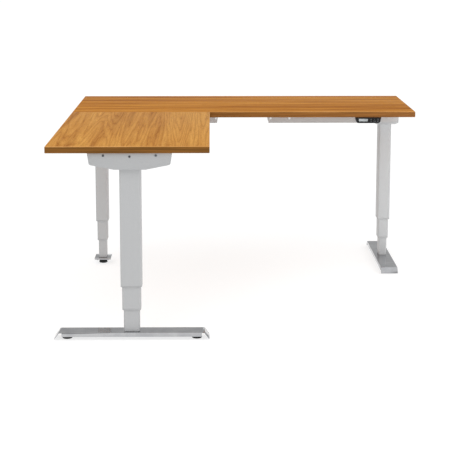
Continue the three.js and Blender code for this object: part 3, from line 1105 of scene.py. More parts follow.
def seat_on_points(
    tree: bpy.types.NodeTree, points: bpy.types.NodeSocket, piece: bpy.types.NodeSocket
) -> bpy.types.NodeSocket:
    """Seat a piece on each point, turned to the point's aim.

    Args:
        tree: Tree that gets the nodes.
        points: Points with an aim.
        piece: Piece that stands along Z.

    Returns:
        Socket with the seated pieces.
    """
    aim = add_node(
        tree, "GeometryNodeInputNamedAttribute", {"data_type": "FLOAT_VECTOR"}, {"Name": "aim"}
    ).outputs["Attribute"]
    turn = add_node(
        tree, "FunctionNodeAlignRotationToVector", {"axis": "Z"}, {"Vector": aim}
    ).outputs["Rotation"]
    return add_node(
        tree,
        "GeometryNodeInstanceOnPoints",
        inputs={"Points": points, "Instance": piece, "Rotation": turn},
    ).outputs["Instances"]


@dataclass
class FastenerTree:
    """Tree that seats one screw head on each point, turned to the point's aim."""

    recess: Recess
    material: bpy.types.Material
    sides: int = 20
    crown_share: float = 0.8
    rim_share: float = 0.6
    # width of a cross recess beside its radius
    blade_share: float = 0.5

    def build(self) -> bpy.types.NodeTree:
        """Build the tree.

        Returns:
            Tree with inputs for the head's and the recess's sizes.
        """
        tree = new_geometry_tree(
            f"seated_{self.recess.value}_screws",
            [
                (size, "NodeSocketFloat")
                for size in ("Head Radius", "Head Height", "Recess Radius", "Recess Depth")
            ],
        )
        given = add_node(tree, "NodeGroupInput").outputs
        head = self._head(tree, given)
        socket = self._recess(tree, given)
        cut = add_node(
            tree, "GeometryNodeMeshBoolean", {"operation": "DIFFERENCE"}, {"Mesh 1": head}
        )
        tree.links.new(socket, cut.inputs["Mesh 2"])
        placed = seat_on_points(tree, given["Geometry"], cut.outputs["Mesh"])
        finish_tree(tree, placed, self.material)
        return tree

    def _head(self, tree: bpy.types.NodeTree, given: Any) -> bpy.types.NodeSocket:
        """Head as a cylinder with a smaller crown on it.

        Args:
            tree: Tree that gets the nodes.
            given: Group input sockets.

        Returns:
            The head's mesh socket.
        """
        crown_r, rim_h = (
            add_node(
                tree, "ShaderNodeMath", {"operation": "MULTIPLY"}, {0: given[size], 1: share}
            ).outputs[0]
            for size, share in (("Head Radius", self.crown_share), ("Head Height", self.rim_share))
        )
        cone = add_node(
            tree,
            "GeometryNodeMeshCone",
            inputs={
                "Vertices": self.sides,
                "Radius Top": crown_r,
                "Radius Bottom": given["Head Radius"],
                "Depth": given["Head Height"],
            },
        ).outputs["Mesh"]
        rim = add_node(
            tree,
            "GeometryNodeMeshCylinder",
            inputs={"Vertices": self.sides, "Radius": given["Head Radius"], "Depth": rim_h},
        ).outputs["Mesh"]
        lift = add_node(
            tree, "ShaderNodeMath", {"operation": "MULTIPLY"}, {0: rim_h, 1: 0.5}
        ).outputs[0]
        offset = add_node(tree, "ShaderNodeCombineXYZ", inputs={"Z": lift}).outputs[0]
        rim_up = add_node(
            tree, "GeometryNodeTransform", inputs={"Geometry": rim, "Translation": offset}
        ).outputs["Geometry"]
        both = add_node(tree, "GeometryNodeMeshBoolean", {"operation": "UNION"})
        tree.links.new(cone, both.inputs["Mesh 2"])
        tree.links.new(rim_up, both.inputs["Mesh 2"])
        return both.outputs["Mesh"]

    def _recess(self, tree: bpy.types.NodeTree, given: Any) -> bpy.types.NodeSocket:
        """Recess body that is cut from the head.

        Args:
            tree: Tree that gets the nodes.
            given: Group input sockets.

        Returns:
            The cutter's mesh socket.
        """
        lift = add_node(tree, "ShaderNodeCombineXYZ", inputs={"Z": given["Head Height"]}).outputs[0]
        depth = add_node(
            tree, "ShaderNodeMath", {"operation": "MULTIPLY"}, {0: given["Recess Depth"], 1: 2.0}
        ).outputs[0]
        if self.recess is Recess.HEX:
            body = add_node(
                tree,
                "GeometryNodeMeshCylinder",
                inputs={"Vertices": 6, "Radius": given["Recess Radius"], "Depth": depth},
            ).outputs["Mesh"]
            return add_node(
                tree, "GeometryNodeTransform", inputs={"Geometry": body, "Translation": lift}
            ).outputs["Geometry"]
        radius = given["Recess Radius"]
        reach, width = (
            add_node(
                tree, "ShaderNodeMath", {"operation": "MULTIPLY"}, {0: radius, 1: share}
            ).outputs[0]
            for share in (2.0, self.blade_share)
        )
        joined = add_node(tree, "GeometryNodeMeshBoolean", {"operation": "UNION"})
        for x_size, y_size in ((reach, width), (width, reach)):
            size = add_node(
                tree, "ShaderNodeCombineXYZ", inputs={"X": x_size, "Y": y_size, "Z": depth}
            ).outputs[0]
            bar = add_node(tree, "GeometryNodeMeshCube", inputs={"Size": size}).outputs["Mesh"]
            moved = add_node(
                tree, "GeometryNodeTransform", inputs={"Geometry": bar, "Translation": lift}
            ).outputs["Geometry"]
            tree.links.new(moved, joined.inputs["Mesh 2"])
        return joined.outputs["Mesh"]


def finish_tree(
    tree: bpy.types.NodeTree, geometry: bpy.types.NodeSocket, material: bpy.types.Material
) -> None:
    """End a tree in Realize Instances and Set Material.

    Args:
        tree: Tree to end.
        geometry: Socket with the built geometry.
        material: Material it gets.
    """
    real = add_node(tree, "GeometryNodeRealizeInstances", inputs={"Geometry": geometry}).outputs[0]
    dressed = add_node(
        tree, "GeometryNodeSetMaterial", inputs={"Geometry": real, "Material": material}
    ).outputs[0]
    out = add_node(tree, "NodeGroupOutput")
    tree.links.new(dressed, out.inputs["Geometry"])


def rib_ring_tree(material: bpy.types.Material) -> bpy.types.NodeTree:
    """Tree that stands equal ribs in a ring round each point.

    Args:
        material: Material of the ribs.

    Returns:
        Tree with inputs for the ring's radius, the count and a rib's size.
    """
    name = f"rib_ring_{material.name}"
    if name in bpy.data.node_groups:
        return bpy.data.node_groups[name]
    sizes = [
        ("Ring Radius", "NodeSocketFloat"),
        ("Count", "NodeSocketInt"),
        ("Rib Size", "NodeSocketVector"),
    ]
    tree = new_geometry_tree(name, sizes)
    given = add_node(tree, "NodeGroupInput").outputs
    circle = add_node(
        tree,
        "GeometryNodeMeshCircle",
        inputs={"Vertices": given["Count"], "Radius": given["Ring Radius"]},
    ).outputs["Mesh"]
    place = add_node(tree, "GeometryNodeInputPosition").outputs[0]
    turn = add_node(
        tree, "FunctionNodeAlignRotationToVector", {"axis": "X"}, {"Vector": place}
    ).outputs["Rotation"]
    rib = add_node(tree, "GeometryNodeMeshCube", inputs={"Size": given["Rib Size"]}).outputs["Mesh"]
    ring = add_node(
        tree,
        "GeometryNodeInstanceOnPoints",
        inputs={"Points": circle, "Instance": rib, "Rotation": turn},
    ).outputs["Instances"]
    finish_tree(tree, seat_on_points(tree, given["Geometry"], ring), material)
    return tree


def slot_cut_tree(material: bpy.types.Material) -> bpy.types.NodeTree:
    """Tree that cuts a row of slots out of the object it runs on.

    Args:
        material: Material of the cut piece.

    Returns:
        Tree with inputs for the row's start, step, count and a slot's size.
    """
    name = f"slot_row_{material.name}"
    if name in bpy.data.node_groups:
        return bpy.data.node_groups[name]
    sizes = [
        ("Start", "NodeSocketVector"),
        ("Step", "NodeSocketVector"),
        ("Count", "NodeSocketInt"),
        ("Slot Size", "NodeSocketVector"),
    ]
    tree = new_geometry_tree(name, sizes)
    given = add_node(tree, "NodeGroupInput").outputs
    line = add_node(
        tree,
        "GeometryNodeMeshLine",
        {"mode": "OFFSET"},
        {"Count": given["Count"], "Start Location": given["Start"], "Offset": given["Step"]},
    ).outputs["Mesh"]
    bar = add_node(tree, "GeometryNodeMeshCube", inputs={"Size": given["Slot Size"]}).outputs["Mesh"]
    bars = add_node(
        tree, "GeometryNodeInstanceOnPoints", inputs={"Points": line, "Instance": bar}
    ).outputs["Instances"]
    solid = add_node(tree, "GeometryNodeRealizeInstances", inputs={"Geometry": bars}).outputs[0]
    cut = add_node(
        tree, "GeometryNodeMeshBoolean", {"operation": "DIFFERENCE"}, {"Mesh 1": given["Geometry"]}
    )
    tree.links.new(solid, cut.inputs["Mesh 2"])
    finish_tree(tree, cut.outputs["Mesh"], material)
    return tree


def seats_under(
    low: Vector, high: Vector, columns: Sequence[float], rows: Sequence[float]
) -> list[Seat]:
    """Grid of seats under a plate, heads down.

    Args:
        low: Lowest corner of the plate.
        high: Highest corner of the plate.
        columns: Shares of the plate's size along X.
        rows: Shares of the plate's size along Y.

    Returns:
        Place and direction of each head.
    """
    seats = []
    for column in columns:
        for row in rows:
            x = low.x + (high.x - low.x) * column
            y = low.y + (high.y - low.y) * row
            seats.append((Vector((x, y, low.z)), DOWN))
    return seats


def seats_object(name: str, seats: Sequence[Seat]) -> bpy.types.Object:
    """Object with one point for each seat and the direction it faces.

    Args:
        name: Object's name.
        seats: Place and outward direction of each seat.

    Returns:
        Object whose mesh has only points.
    """
    mesh = bpy.data.meshes.new(name)
    mesh.from_pydata([tuple(place) for place, _ in seats], [], [])
    aim = mesh.attributes.new("aim", "FLOAT_VECTOR", "POINT")
    for item, (_, direction) in zip(aim.data, seats):
        item.vector = direction
    obj = bpy.data.objects.new(name, mesh)
    bpy.context.scene.collection.objects.link(obj)
    return obj


@dataclass(frozen=True)
class ScrewSize:
    """Sizes of one screw head, in millimetres."""

    head_radius: float
    head_height: float
    recess_radius: float
    recess_depth: float


@dataclass
class Fasteners:
    """Screws and bolts, seated set by set with one tree for each recess."""

    trees: dict[tuple[Recess, str], bpy.types.NodeTree] = field(default_factory=dict)

    def seat(
        self,
        name: str,
        body: str,
        seats: Sequence[Seat],
        size: ScrewSize,
        recess: Recess,
        finish: bpy.types.Material,
    ) -> bpy.types.Object:
        """Seat a set of equal screws on one body.

        Args:
            name: Piece's name.
            body: CAD body it rides on.
            seats: Place and outward direction of each head.
            size: Head and recess sizes.
            recess: Kind of drive recess.
            finish: Material of the heads.

        Returns:
            One plain mesh with all heads.
        """
        key = (recess, finish.name)
        if key not in self.trees:
            self.trees[key] = FastenerTree(recess, finish).build()
        obj = seats_object(name, seats)
        values = {
            "Head Radius": size.head_radius * MM,
            "Head Height": size.head_height * MM,
            "Recess Radius": size.recess_radius * MM,
            "Recess Depth": size.recess_depth * MM,
        }
        run_tree(obj, self.trees[key], values)
        shade(obj, 30)
        return dress(obj, body, [finish])


WOOD_SCREW = ScrewSize(4.2, 2.2, 2.3, 1.4)
FRAME_BOLT = ScrewSize(5.5, 3.2, 2.6, 1.9)
SET_SCREW = ScrewSize(4.4, 1.6, 2.4, 1.1)
LOCK_SCREW = ScrewSize(5.2, 2.6, 2.5, 1.3)
CASE_SCREW = ScrewSize(2.6, 1.2, 1.5, 0.8)

# the beam that starts over each column
BEAM_OF_LEG = {
    "right": "main_beam_right",
    "corner": "main_beam_left",
    "front": "return_beam_front",
}


# ------------------------------------------------------------------------------------------
# Sub-assemblies
# ------------------------------------------------------------------------------------------
@dataclass
class Tops:
    """The two oak tops with their edge bands, and the plates that join them."""

    finishes: Finishes
    edge_radius: float = 2.6
    corner_radius: float = 3.0
    # rise of a face's normal from which it belongs to the laminate, or to the upper rounded edge with
    # its painted highlight
    laminate_rise: float = 0.96
    highlight_rise: float = 0.3
    plate_corner: float = 6.0
    plate_chamfer: float = 0.5
    # shares of a plate's length and width
    screw_columns: tuple[float, ...] = (0.12, 0.37, 0.63, 0.88)
    screw_rows: tuple[float, ...] = (0.22, 0.78)

    def build(self) -> None:
        """Build both tops and the plates; the plates' screws are seated from screw_seats."""
        own = self.finishes
        self._top("main_top", "main_oak_top", own.main_oak, own.main_edge)
        self._top("return_top", "return_oak_top", own.return_oak, own.return_edge)
        for node in ("seam_plate_outer", "seam_plate_inner"):
            self._plate(node)

    def _top(
        self,
        node: str,
        name: str,
        oak: bpy.types.Material,
        edge: bpy.types.Material,
    ) -> None:
        """Slab with eased edges; its edge band, and its upper rounded edge with a painted highlight,
        have their own finish.

        Args:
            node: CAD node it stands for.
            name: Piece's name.
            oak: Laminate for both faces.
            edge: Edge band.
        """
        low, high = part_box(node)
        r = self.edge_radius * MM
        quarter = [math.radians(a) for a in (0, 22.5, 45, 67.5, 90)]
        bottom = rounded_edge(low.z, r, quarter, Side.LOW)
        top = rounded_edge(high.z, r, quarter, Side.HIGH)
        bm = wall_loft(low, high, self.corner_radius * MM, bottom + top)
        bm.normal_update()
        for face in bm.faces:
            rise = face.normal.z
            if abs(rise) > self.laminate_rise:
                face.material_index = 0
            else:
                # upward-facing rounded edge: painted highlight; other edge faces: edge band
                face.material_index = 2 if rise > self.highlight_rise else 1
        obj = new_object(name, bm)
        shade(obj, 50)
        dress(obj, "desktop", [oak, edge, self.finishes.upper_edge_highlight], [node])

    def _plate(self, node: str) -> None:
        """Flat joining plate.

        Args:
            node: CAD node it stands for.
        """
        bm = flat_plate(*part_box(node), self.plate_corner * MM, self.plate_chamfer * MM)
        obj = new_object(node + "_steel", bm)
        shade(obj)
        dress(obj, "desktop", [self.finishes.zinc], [node])

    def screw_seats(self) -> list[Seat]:
        """Seats of the plates' wood screws, heads down.

        Returns:
            Place and direction of each head.
        """
        seats = []
        for node in ("seam_plate_outer", "seam_plate_inner"):
            seats += seats_under(*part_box(node), self.screw_columns, self.screw_rows)
        return seats


@dataclass
class Column:
    """One three stage column: outer, middle and inner tube with their guide collars."""

    leg: str
    finishes: Finishes
    wall: float = 1.8
    radii: Point3 = (8.0, 7.0, 6.0)
    rim: float = 0.5
    # base plate welded into the inner tube: how far it stands in, and its two levels
    plate_inset: float = 2.2
    plate_levels: Point2 = (0.1, 4.0)
    # nut tube for the spindle: outer and inner radius, foot, and how far its top stays down
    nut_radii: Point2 = (14.5, 12.0)
    nut_foot: float = 3.0
    nut_drop: float = 12.0
    lip_radius: float = 1.8
    lip_height: float = 4.2
    collar_play: float = 0.3
    collar_lead: float = 0.8

    def bodies(self) -> tuple[str, str]:
        """Bodies of the middle and the inner stage.

        Returns:
            Names of the two bodies.
        """
        return f"{self.leg}_mid", f"{self.leg}_base"

    def build(self) -> None:
        """Build the three tubes and two collars, and dress the hidden drive."""
        mid, base = self.bodies()
        outer, middle, inner = self.radii
        self._tube(f"{self.leg}_outer_tube", "desktop", outer)
        self._tube(f"{self.leg}_middle_tube", mid, middle)
        self._inner_tube(base, inner)
        self._collar(f"{self.leg}_upper_collar", "desktop", outer, f"{self.leg}_middle_tube")
        self._collar(f"{self.leg}_lower_collar", mid, middle, f"{self.leg}_inner_tube")
        for node in (f"{self.leg}_spindle", f"{self.leg}_drive_sleeve"):
            dress_node(node, [self.finishes.zinc])

    def _wall_profile(self, low: float, high: float) -> list[Point2]:
        """Closed (inset, level) profile of a tube wall with eased rims.

        Args:
            low: Lower end.
            high: Upper end.

        Returns:
            Profile from the outside over the top and down the inside.
        """
        w = self.wall * MM
        r = self.rim * MM
        return [
            (r, low),
            (0.0, low + r),
            (0.0, high - r),
            (r, high),
            (w - r, high),
            (w, high - r),
            (w, low + r),
            (w - r, low),
        ]

    def _tube(self, node: str, body: str, radius: float) -> None:
        """One open tube.

        Args:
            node: CAD node it stands for.
            body: CAD body it rides on.
            radius: Corner radius in millimetres.
        """
        low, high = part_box(node)
        bm = wall_loft(low, high, radius * MM, self._wall_profile(low.z, high.z), True)
        obj = new_object(node + "_coated", bm)
        shade(obj, 40)
        dress(obj, body, [self.finishes.column], [node])

    def _inner_tube(self, body: str, radius: float) -> None:
        """Inner tube with its base plate and the nut tube that stands on it.

        Args:
            body: CAD body it rides on.
            radius: Corner radius in millimetres.
        """
        node = f"{self.leg}_inner_tube"
        low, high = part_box(node)
        centre = (low + high) / 2
        wall = wall_loft(low, high, radius * MM, self._wall_profile(low.z, high.z), True)
        inset = self.plate_inset * MM
        levels = [(inset, low.z + level * MM) for level in self.plate_levels]
        plate = wall_loft(low, high, radius * MM, levels)
        nut_outer, nut_bore = self.nut_radii
        foot = low.z + self.nut_foot * MM
        rim = high.z - self.nut_drop * MM
        crown = high.z - (self.nut_drop - 1.0) * MM
        nut = lathe(
            (centre.x, centre.y),
            [
                (nut_outer * MM, foot),
                (nut_outer * MM, rim),
                ((nut_outer - 0.5) * MM, crown),
                ((nut_bore + 0.4) * MM, crown),
                (nut_bore * MM, rim),
                (nut_bore * MM, foot),
            ],
            28,
            True,
        )
        obj = new_object(node + "_coated", join_meshes([wall, plate, nut]))
        shade(obj, 40)
        dress(obj, body, [self.finishes.column], [node])

    def _collar(self, node: str, body: str, radius: float, inside: str) -> None:
        """Guide collar: a lip under the tube and a sleeve inside it.

        Args:
            node: CAD node it stands for.
            body: CAD body it rides on.
            radius: Corner radius of the tube above it, in millimetres.
            inside: CAD node of the tube that slides in it.
        """
        low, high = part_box(node)
        inner_low, inner_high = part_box(inside)
        slide_width = inner_high.x - inner_low.x
        bore = (high.x - low.x - slide_width) / 2 - self.collar_play * MM
        lip_top = low.z + self.lip_height * MM
        sleeve = (self.wall + self.collar_play) * MM
        lead = self.collar_lead * MM
        quarter = (0.0, 0.4, 0.8, 1.2, 1.57)
        profile = rounded_edge(low.z, self.lip_radius * MM, quarter, Side.LOW) + [
            (0.0, lip_top),
            (sleeve, lip_top),
            (sleeve, high.z),
            (bore, high.z),
            (bore, low.z + lead),
            (bore - lead, low.z),
        ]
        bm = wall_loft(low, high, radius * MM, profile, True)
        obj = new_object(node + "_moulded", bm)
        shade(obj, 40)
        dress(obj, body, [self.finishes.collar], [node])


@dataclass
class Foot:
    """One foot of pressed sheet, or the small corner pad, with its glides."""

    leg: str
    finishes: Finishes
    long_foot: bool = True
    sheet: float = 2.5
    fold: float = 0.9
    flange: float = 16.0
    flap_out: float = 18.0
    flange_set_in: float = 11.0
    pad_edge: float = 1.6
    pad_corner: float = 5.0
    # level of the top of the rubber under a long foot and under the corner pad
    glide_tops: Point2 = (11.0, 14.0)
    glide_play: float = 0.8
    # (inset, height) steps of the rubber's foot, and (inset, depth) steps of its shoulder
    glide_foot: tuple[Point2, ...] = ((1.6, 0.0), (0.5, 0.5), (0.0, 1.4))
    glide_shoulder: tuple[Point2, ...] = ((0.0, 3.4), (0.9, 2.2), (4.0, 0.6), (6.0, 0.0))
    stem_radius: float = 4.0
    thread_root: float = 3.45
    thread_pitch: float = 1.25
    stem_lead: float = 0.6
    stem_end: float = 3.4
    rib_count: int = 30
    rib_size: Point3 = (1.2, 1.6, 3.2)
    # how far the bolts stand outside the tube on the corner pad, and inside it on a long foot
    pad_bolts_out: Point2 = (6.0, 4.0)
    foot_bolts_in: float = 8.0

    def build(self, fasteners: Fasteners) -> None:
        """Build the foot, its glides and its bolts.

        Args:
            fasteners: Seats the bolts under the column.
        """
        body = f"{self.leg}_base"
        if self.long_foot:
            self._sheet_foot(body)
            self._glide(f"{self.leg}_glide_a")
            self._glide(f"{self.leg}_glide_b")
        else:
            self._pad_foot(body)
            self._glide(f"{self.leg}_glide")
        self._bolts(body, fasteners)

    def _sheet_foot(self, body: str) -> None:
        """Inverted tray with set-in side flanges and splayed end flaps.

        Args:
            body: CAD body it rides on.
        """
        node = f"{self.leg}_foot"
        low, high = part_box(node)
        size = high - low
        centre = (low + high) / 2
        along_x = size.x > size.y
        half_l = max(size.x, size.y) / 2 - self.flap_out * MM
        half_w = min(size.x, size.y) / 2
        top = high.z
        foot_low = low.z
        flange_low = top - self.flange * MM
        set_in = half_l - self.flange_set_in * MM
        tip = half_l + self.flap_out * MM

        def at(u: float, v: float, z: float) -> Vector:
            """Point from length, width and level."""
            if along_x:
                return Vector((centre.x + u, centre.y + v, z))
            return Vector((centre.x - v, centre.y + u, z))

        bm = bmesh.new()
        rows = []
        for v in (-half_w, half_w):
            rows.append([bm.verts.new(at(u, v, top)) for u in (-half_l, -set_in, set_in, half_l)])
        for i in range(3):
            bm.faces.new((rows[0][i], rows[0][i + 1], rows[1][i + 1], rows[1][i]))
        for row, v in zip(rows, (-half_w, half_w)):
            a = bm.verts.new(at(-set_in, v, flange_low))
            b = bm.verts.new(at(set_in, v, flange_low))
            bm.faces.new((row[1], a, b, row[2]) if v < 0 else (row[2], b, a, row[1]))
        for side, i in ((-1, 0), (1, 3)):
            a = bm.verts.new(at(side * tip, -half_w, foot_low))
            b = bm.verts.new(at(side * tip, half_w, foot_low))
            corner = (rows[0][i], rows[1][i])
            bm.faces.new((corner[1], b, a, corner[0]) if side < 0 else (corner[0], a, b, corner[1]))
        bmesh.ops.recalc_face_normals(bm, faces=bm.faces)
        up = sum((f.normal.z for f in bm.faces), 0.0)
        if up < 0:
            bmesh.ops.reverse_faces(bm, faces=bm.faces)
        obj = new_object(node + "_chromed", bm)
        fold_sheet(obj, self.sheet * MM, self.fold * MM, 3, 25)
        dress(obj, body, [self.finishes.chrome], [node])

    def _pad_foot(self, body: str) -> None:
        """Thick chromed pad under the corner column.

        Args:
            body: CAD body it rides on.
        """
        node = f"{self.leg}_foot"
        low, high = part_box(node)
        r = self.pad_edge * MM
        quarter = (0.0, 0.52, 1.05, 1.571)
        bottom = rounded_edge(low.z, r, quarter, Side.LOW)
        crown = rounded_edge(high.z, r, quarter, Side.HIGH)
        bm = wall_loft(low, high, self.pad_corner * MM, bottom + crown)
        obj = new_object(node + "_chromed", bm)
        shade(obj, 50)
        dress(obj, body, [self.finishes.chrome], [node])

    def _glide(self, node: str) -> None:
        """Levelling glide: rubber pad with grip ribs on a threaded stem.

        Args:
            node: CAD node it stands for.
        """
        low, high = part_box(node)
        centre = (low + high) / 2
        plan = (centre.x, centre.y)
        outer = (high.x - low.x) / 2 - self.glide_play * MM
        pad_top = self.glide_tops[0 if self.long_foot else 1] * MM
        foot = [(outer - inset * MM, low.z + rise * MM) for inset, rise in self.glide_foot]
        shoulder = [(outer - inset * MM, pad_top - drop * MM) for inset, drop in self.glide_shoulder]
        stem = lathe(plan, self._thread(pad_top, high.z), 24)
        obj = new_object(node + "_rubber", join_meshes([lathe(plan, foot + shoulder), stem]))
        for face in obj.data.polygons:
            away = Vector((face.center.x - centre.x, face.center.y - centre.y)).length
            is_stem = face.center.z > pad_top and away < (self.stem_radius + 1.0) * MM
            face.material_index = 1 if is_stem else 0
        shade(obj, 40)
        body = node + "_screw"
        dress(obj, body, [self.finishes.rubber, self.finishes.zinc], [node])
        rib_size = tuple(size * MM for size in self.rib_size)
        middle = Vector((*plan, low.z + rib_size[2]))
        ribs = seats_object(node + "_grip_ribs", [(middle, Vector((0, 0, 1)))])
        values = {"Ring Radius": outer, "Count": self.rib_count, "Rib Size": rib_size}
        run_tree(ribs, rib_ring_tree(self.finishes.rubber), values)
        shade(ribs, 30)
        dress(ribs, body, [self.finishes.rubber])

    def _thread(self, low: float, high: float) -> list[Point2]:
        """(radius, level) profile of the glide's threaded stem.

        Args:
            low: Level where the thread starts.
            high: Upper end of the stem.

        Returns:
            Profile from just inside the rubber to the upper end.
        """
        crest = self.stem_radius * MM
        pitch = self.thread_pitch * MM
        profile = [(crest, low - 1 * MM)]
        level = low
        while level + pitch < high - self.stem_lead * MM:
            profile += [(self.thread_root * MM, level), (crest, level + pitch / 2)]
            level += pitch
        return profile + [(self.stem_end * MM, high)]

    def _bolts(self, body: str, fasteners: Fasteners) -> None:
        """Bolts that hold the foot to the column's base plate, from below.

        Args:
            body: CAD body they ride on.
            fasteners: Seats the bolts.
        """
        low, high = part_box(f"{self.leg}_inner_tube")
        centre = (low + high) / 2
        foot_low, foot_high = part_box(f"{self.leg}_foot")
        half = ((high.x - low.x) / 2, (high.y - low.y) / 2)
        if self.long_foot:
            under = foot_high.z - self.sheet * MM
            reach = [side - self.foot_bolts_in * MM for side in half]
        else:
            under = foot_low.z
            reach = [side + out * MM for side, out in zip(half, self.pad_bolts_out)]
        seats = []
        for x in (-1, 1):
            for y in (-1, 1):
                place = Vector((centre.x + x * reach[0], centre.y + y * reach[1], under))
                seats.append((place, DOWN))
        fasteners.seat(
            f"{self.leg}_foot_bolts", body, seats, FRAME_BOLT, Recess.HEX, self.finishes.zinc
        )


@dataclass
class HeadBracket:
    """Folded tray on a column head, with the drive unit that sits in it."""

    leg: str
    finishes: Finishes
    sheet: float = 3.0
    flat_half: float = 58.0
    end_rise: float = 17.0
    end_lean: float = 6.0
    # corner cut off where the end leaves the slope: along it and up it
    end_cut: Point2 = (5.0, 4.0)
    fold: float = 1.35
    screw_drop: float = 9.0
    middle_screw_lower: float = 4.0
    screw_places: Point3 = (-0.62, 0.0, 0.62)
    # how far the drive's axis lies below its top
    axis_drop: float = 24.0
    gearbox: Point2 = (72.0, 50.0)
    gearbox_corner: float = 8.0
    gearbox_sag: float = 1.3
    # ends of each part along the beam, from the column's axis, and the width of their chamfers
    gearbox_span: Point3 = (-34.0, 41.0, 1.5)
    motor_span: Point3 = (36.0, 153.0, 2.0)
    cap_span: Point3 = (150.0, 161.0, 1.5)
    motor_radius: float = 22.4
    cap_share: float = 0.8
    cap_screw_circle: float = 13.0

    def build(self, fasteners: Fasteners) -> None:
        """Build the bracket, its screws and its drive unit.

        Args:
            fasteners: Seats the screws.
        """
        self._tray()
        self._drive(fasteners)
        self._screws(fasteners)

    def _axes(self) -> tuple[Vector, Vector, Vector, bool]:
        """Box of the bracket and whether it is long along X.

        Returns:
            Low corner, high corner, centre and the flag.
        """
        low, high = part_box(f"{self.leg}_bracket")
        return low, high, (low + high) / 2, (high.x - low.x) > (high.y - low.y)

    def _tray(self) -> None:
        """Tray open to the top, folded from one sheet, with tapered ends."""
        low, high, centre, along_x = self._axes()
        half_l = max(high.x - low.x, high.y - low.y) / 2
        half_w = min(high.x - low.x, high.y - low.y) / 2
        lean = self.end_lean * MM
        cut_in, cut_up = (cut * MM for cut in self.end_cut)
        slope_top = low.z + self.end_rise * MM
        outline = [
            (-half_l, high.z),
            (-half_l + lean, slope_top + cut_up),
            (-half_l + lean + cut_in, slope_top),
            (-self.flat_half * MM, low.z),
            (self.flat_half * MM, low.z),
            (half_l - lean - cut_in, slope_top),
            (half_l - lean, slope_top + cut_up),
            (half_l, high.z),
        ]

        def at(u: float, v: float, z: float) -> Vector:
            """Point from length, width and level."""
            if along_x:
                return Vector((centre.x + u, centre.y + v, z))
            return Vector((centre.x + v, centre.y + u, z))

        bm = bmesh.new()
        front = [bm.verts.new(at(u, -half_w, z)) for u, z in outline]
        back = [bm.verts.new(at(u, half_w, z)) for u, z in outline]
        bm.faces.new(front)
        bm.faces.new(list(reversed(back)))
        for i in range(len(outline) - 1):
            bm.faces.new((front[i], back[i], back[i + 1], front[i + 1]))
        bmesh.ops.recalc_face_normals(bm, faces=bm.faces)
        bottom = min(bm.faces, key=lambda f: f.calc_center_median().z)
        if bottom.normal.z > 0:
            bmesh.ops.reverse_faces(bm, faces=bm.faces)
        obj = new_object(f"{self.leg}_bracket_coated", bm)
        fold_sheet(obj, self.sheet * MM, self.fold * MM, 4, 20)
        node = f"{self.leg}_bracket"
        dress(obj, "desktop", [self.finishes.frame], [node])

    def _drive(self, fasteners: Fasteners) -> None:
        """Gearbox, motor can and its end cap.

        Args:
            fasteners: Seats the motor's end screws.
        """
        node = f"{self.leg}_drive_unit"
        frame, shift = self._drive_frame(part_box(node)[1].z)
        width, depth = (size * MM for size in self.gearbox)
        block = rounded_rectangle(width, depth, self.gearbox_corner * MM)
        block_points = [(x + shift, y - self.gearbox_sag * MM) for x, y in block]
        turns = [math.radians(a) for a in range(0, 360, 9)]
        radius = self.motor_radius * MM
        circle = [(radius * math.cos(a), radius * math.sin(a)) for a in turns]
        cap = [(x * self.cap_share, y * self.cap_share) for x, y in circle]
        parts = []
        for outline, span in (
            (block_points, self.gearbox_span),
            (circle, self.motor_span),
            (cap, self.cap_span),
        ):
            start, end, chamfer = (size * MM for size in span)
            parts.append(extrude_outline(outline, start, end, frame, chamfer))
        bm = join_meshes(parts)
        bmesh.ops.recalc_face_normals(bm, faces=bm.faces)
        obj = new_object(node + "_moulded", bm)
        shade(obj, 35)
        dress(obj, "desktop", [self.finishes.drive], [node])
        out = self.cap_screw_circle * MM
        seats = []
        for a in (math.radians(turn) for turn in (45, 135, 225, 315)):
            local = Vector((out * math.cos(a), out * math.sin(a), self.cap_span[1] * MM))
            seats.append((frame @ local, frame.col[2].xyz))
        fasteners.seat(
            f"{self.leg}_motor_screws", "desktop", seats, CASE_SCREW, Recess.CROSS, self.finishes.zinc
        )

    def _drive_frame(self, top: float) -> tuple[Matrix, float]:
        """Frame of the drive: Z along the beam away from the column, Y up.

        Args:
            top: Level of the top of the drive.

        Returns:
            The frame, and how far the column's axis stands beside the motor's.
        """
        tube_low, tube_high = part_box(f"{self.leg}_outer_tube")
        column = (tube_low + tube_high) / 2
        beam_low, beam_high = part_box(BEAM_OF_LEG[self.leg])
        beam_centre = (beam_low + beam_high) / 2
        direction = Vector((beam_centre.x - column.x, beam_centre.y - column.y, 0))
        if abs(direction.x) > abs(direction.y):
            direction = Vector((math.copysign(1, direction.x), 0, 0))
            line = Vector((column.x, beam_centre.y, 0))
        else:
            direction = Vector((0, math.copysign(1, direction.y), 0))
            line = Vector((beam_centre.x, column.y, 0))
        side = Vector((-direction.y, direction.x, 0))
        frame = Matrix(
            (
                (side.x, 0.0, direction.x, line.x),
                (side.y, 0.0, direction.y, line.y),
                (0.0, 1.0, 0.0, top - self.axis_drop * MM),
                (0.0, 0.0, 0.0, 1.0),
            )
        )
        return frame, (Vector((column.x, column.y, 0)) - line).dot(side)

    def _screws(self, fasteners: Fasteners) -> None:
        """Three screws along each long side, as through the side plates into the beam block.

        Args:
            fasteners: Seats the screws.
        """
        low, high, centre, along_x = self._axes()
        half_l = max(high.x - low.x, high.y - low.y) / 2
        seats = []
        for u in self.screw_places:
            for v in (-1, 1):
                offset = u * half_l
                drop = self.screw_drop * MM + (self.middle_screw_lower * MM if u == 0.0 else 0.0)
                if along_x:
                    y = low.y if v < 0 else high.y
                    seats.append((Vector((centre.x + offset, y, high.z - drop)), Vector((0, v, 0))))
                else:
                    x = low.x if v < 0 else high.x
                    seats.append((Vector((x, centre.y + offset, high.z - drop)), Vector((v, 0, 0))))
        # the heads are darkened as painted shade for the screw holes
        fasteners.seat(
            f"{self.leg}_bracket_screws", "desktop", seats, SET_SCREW, Recess.HEX, self.finishes.hole_shade_steel
        )


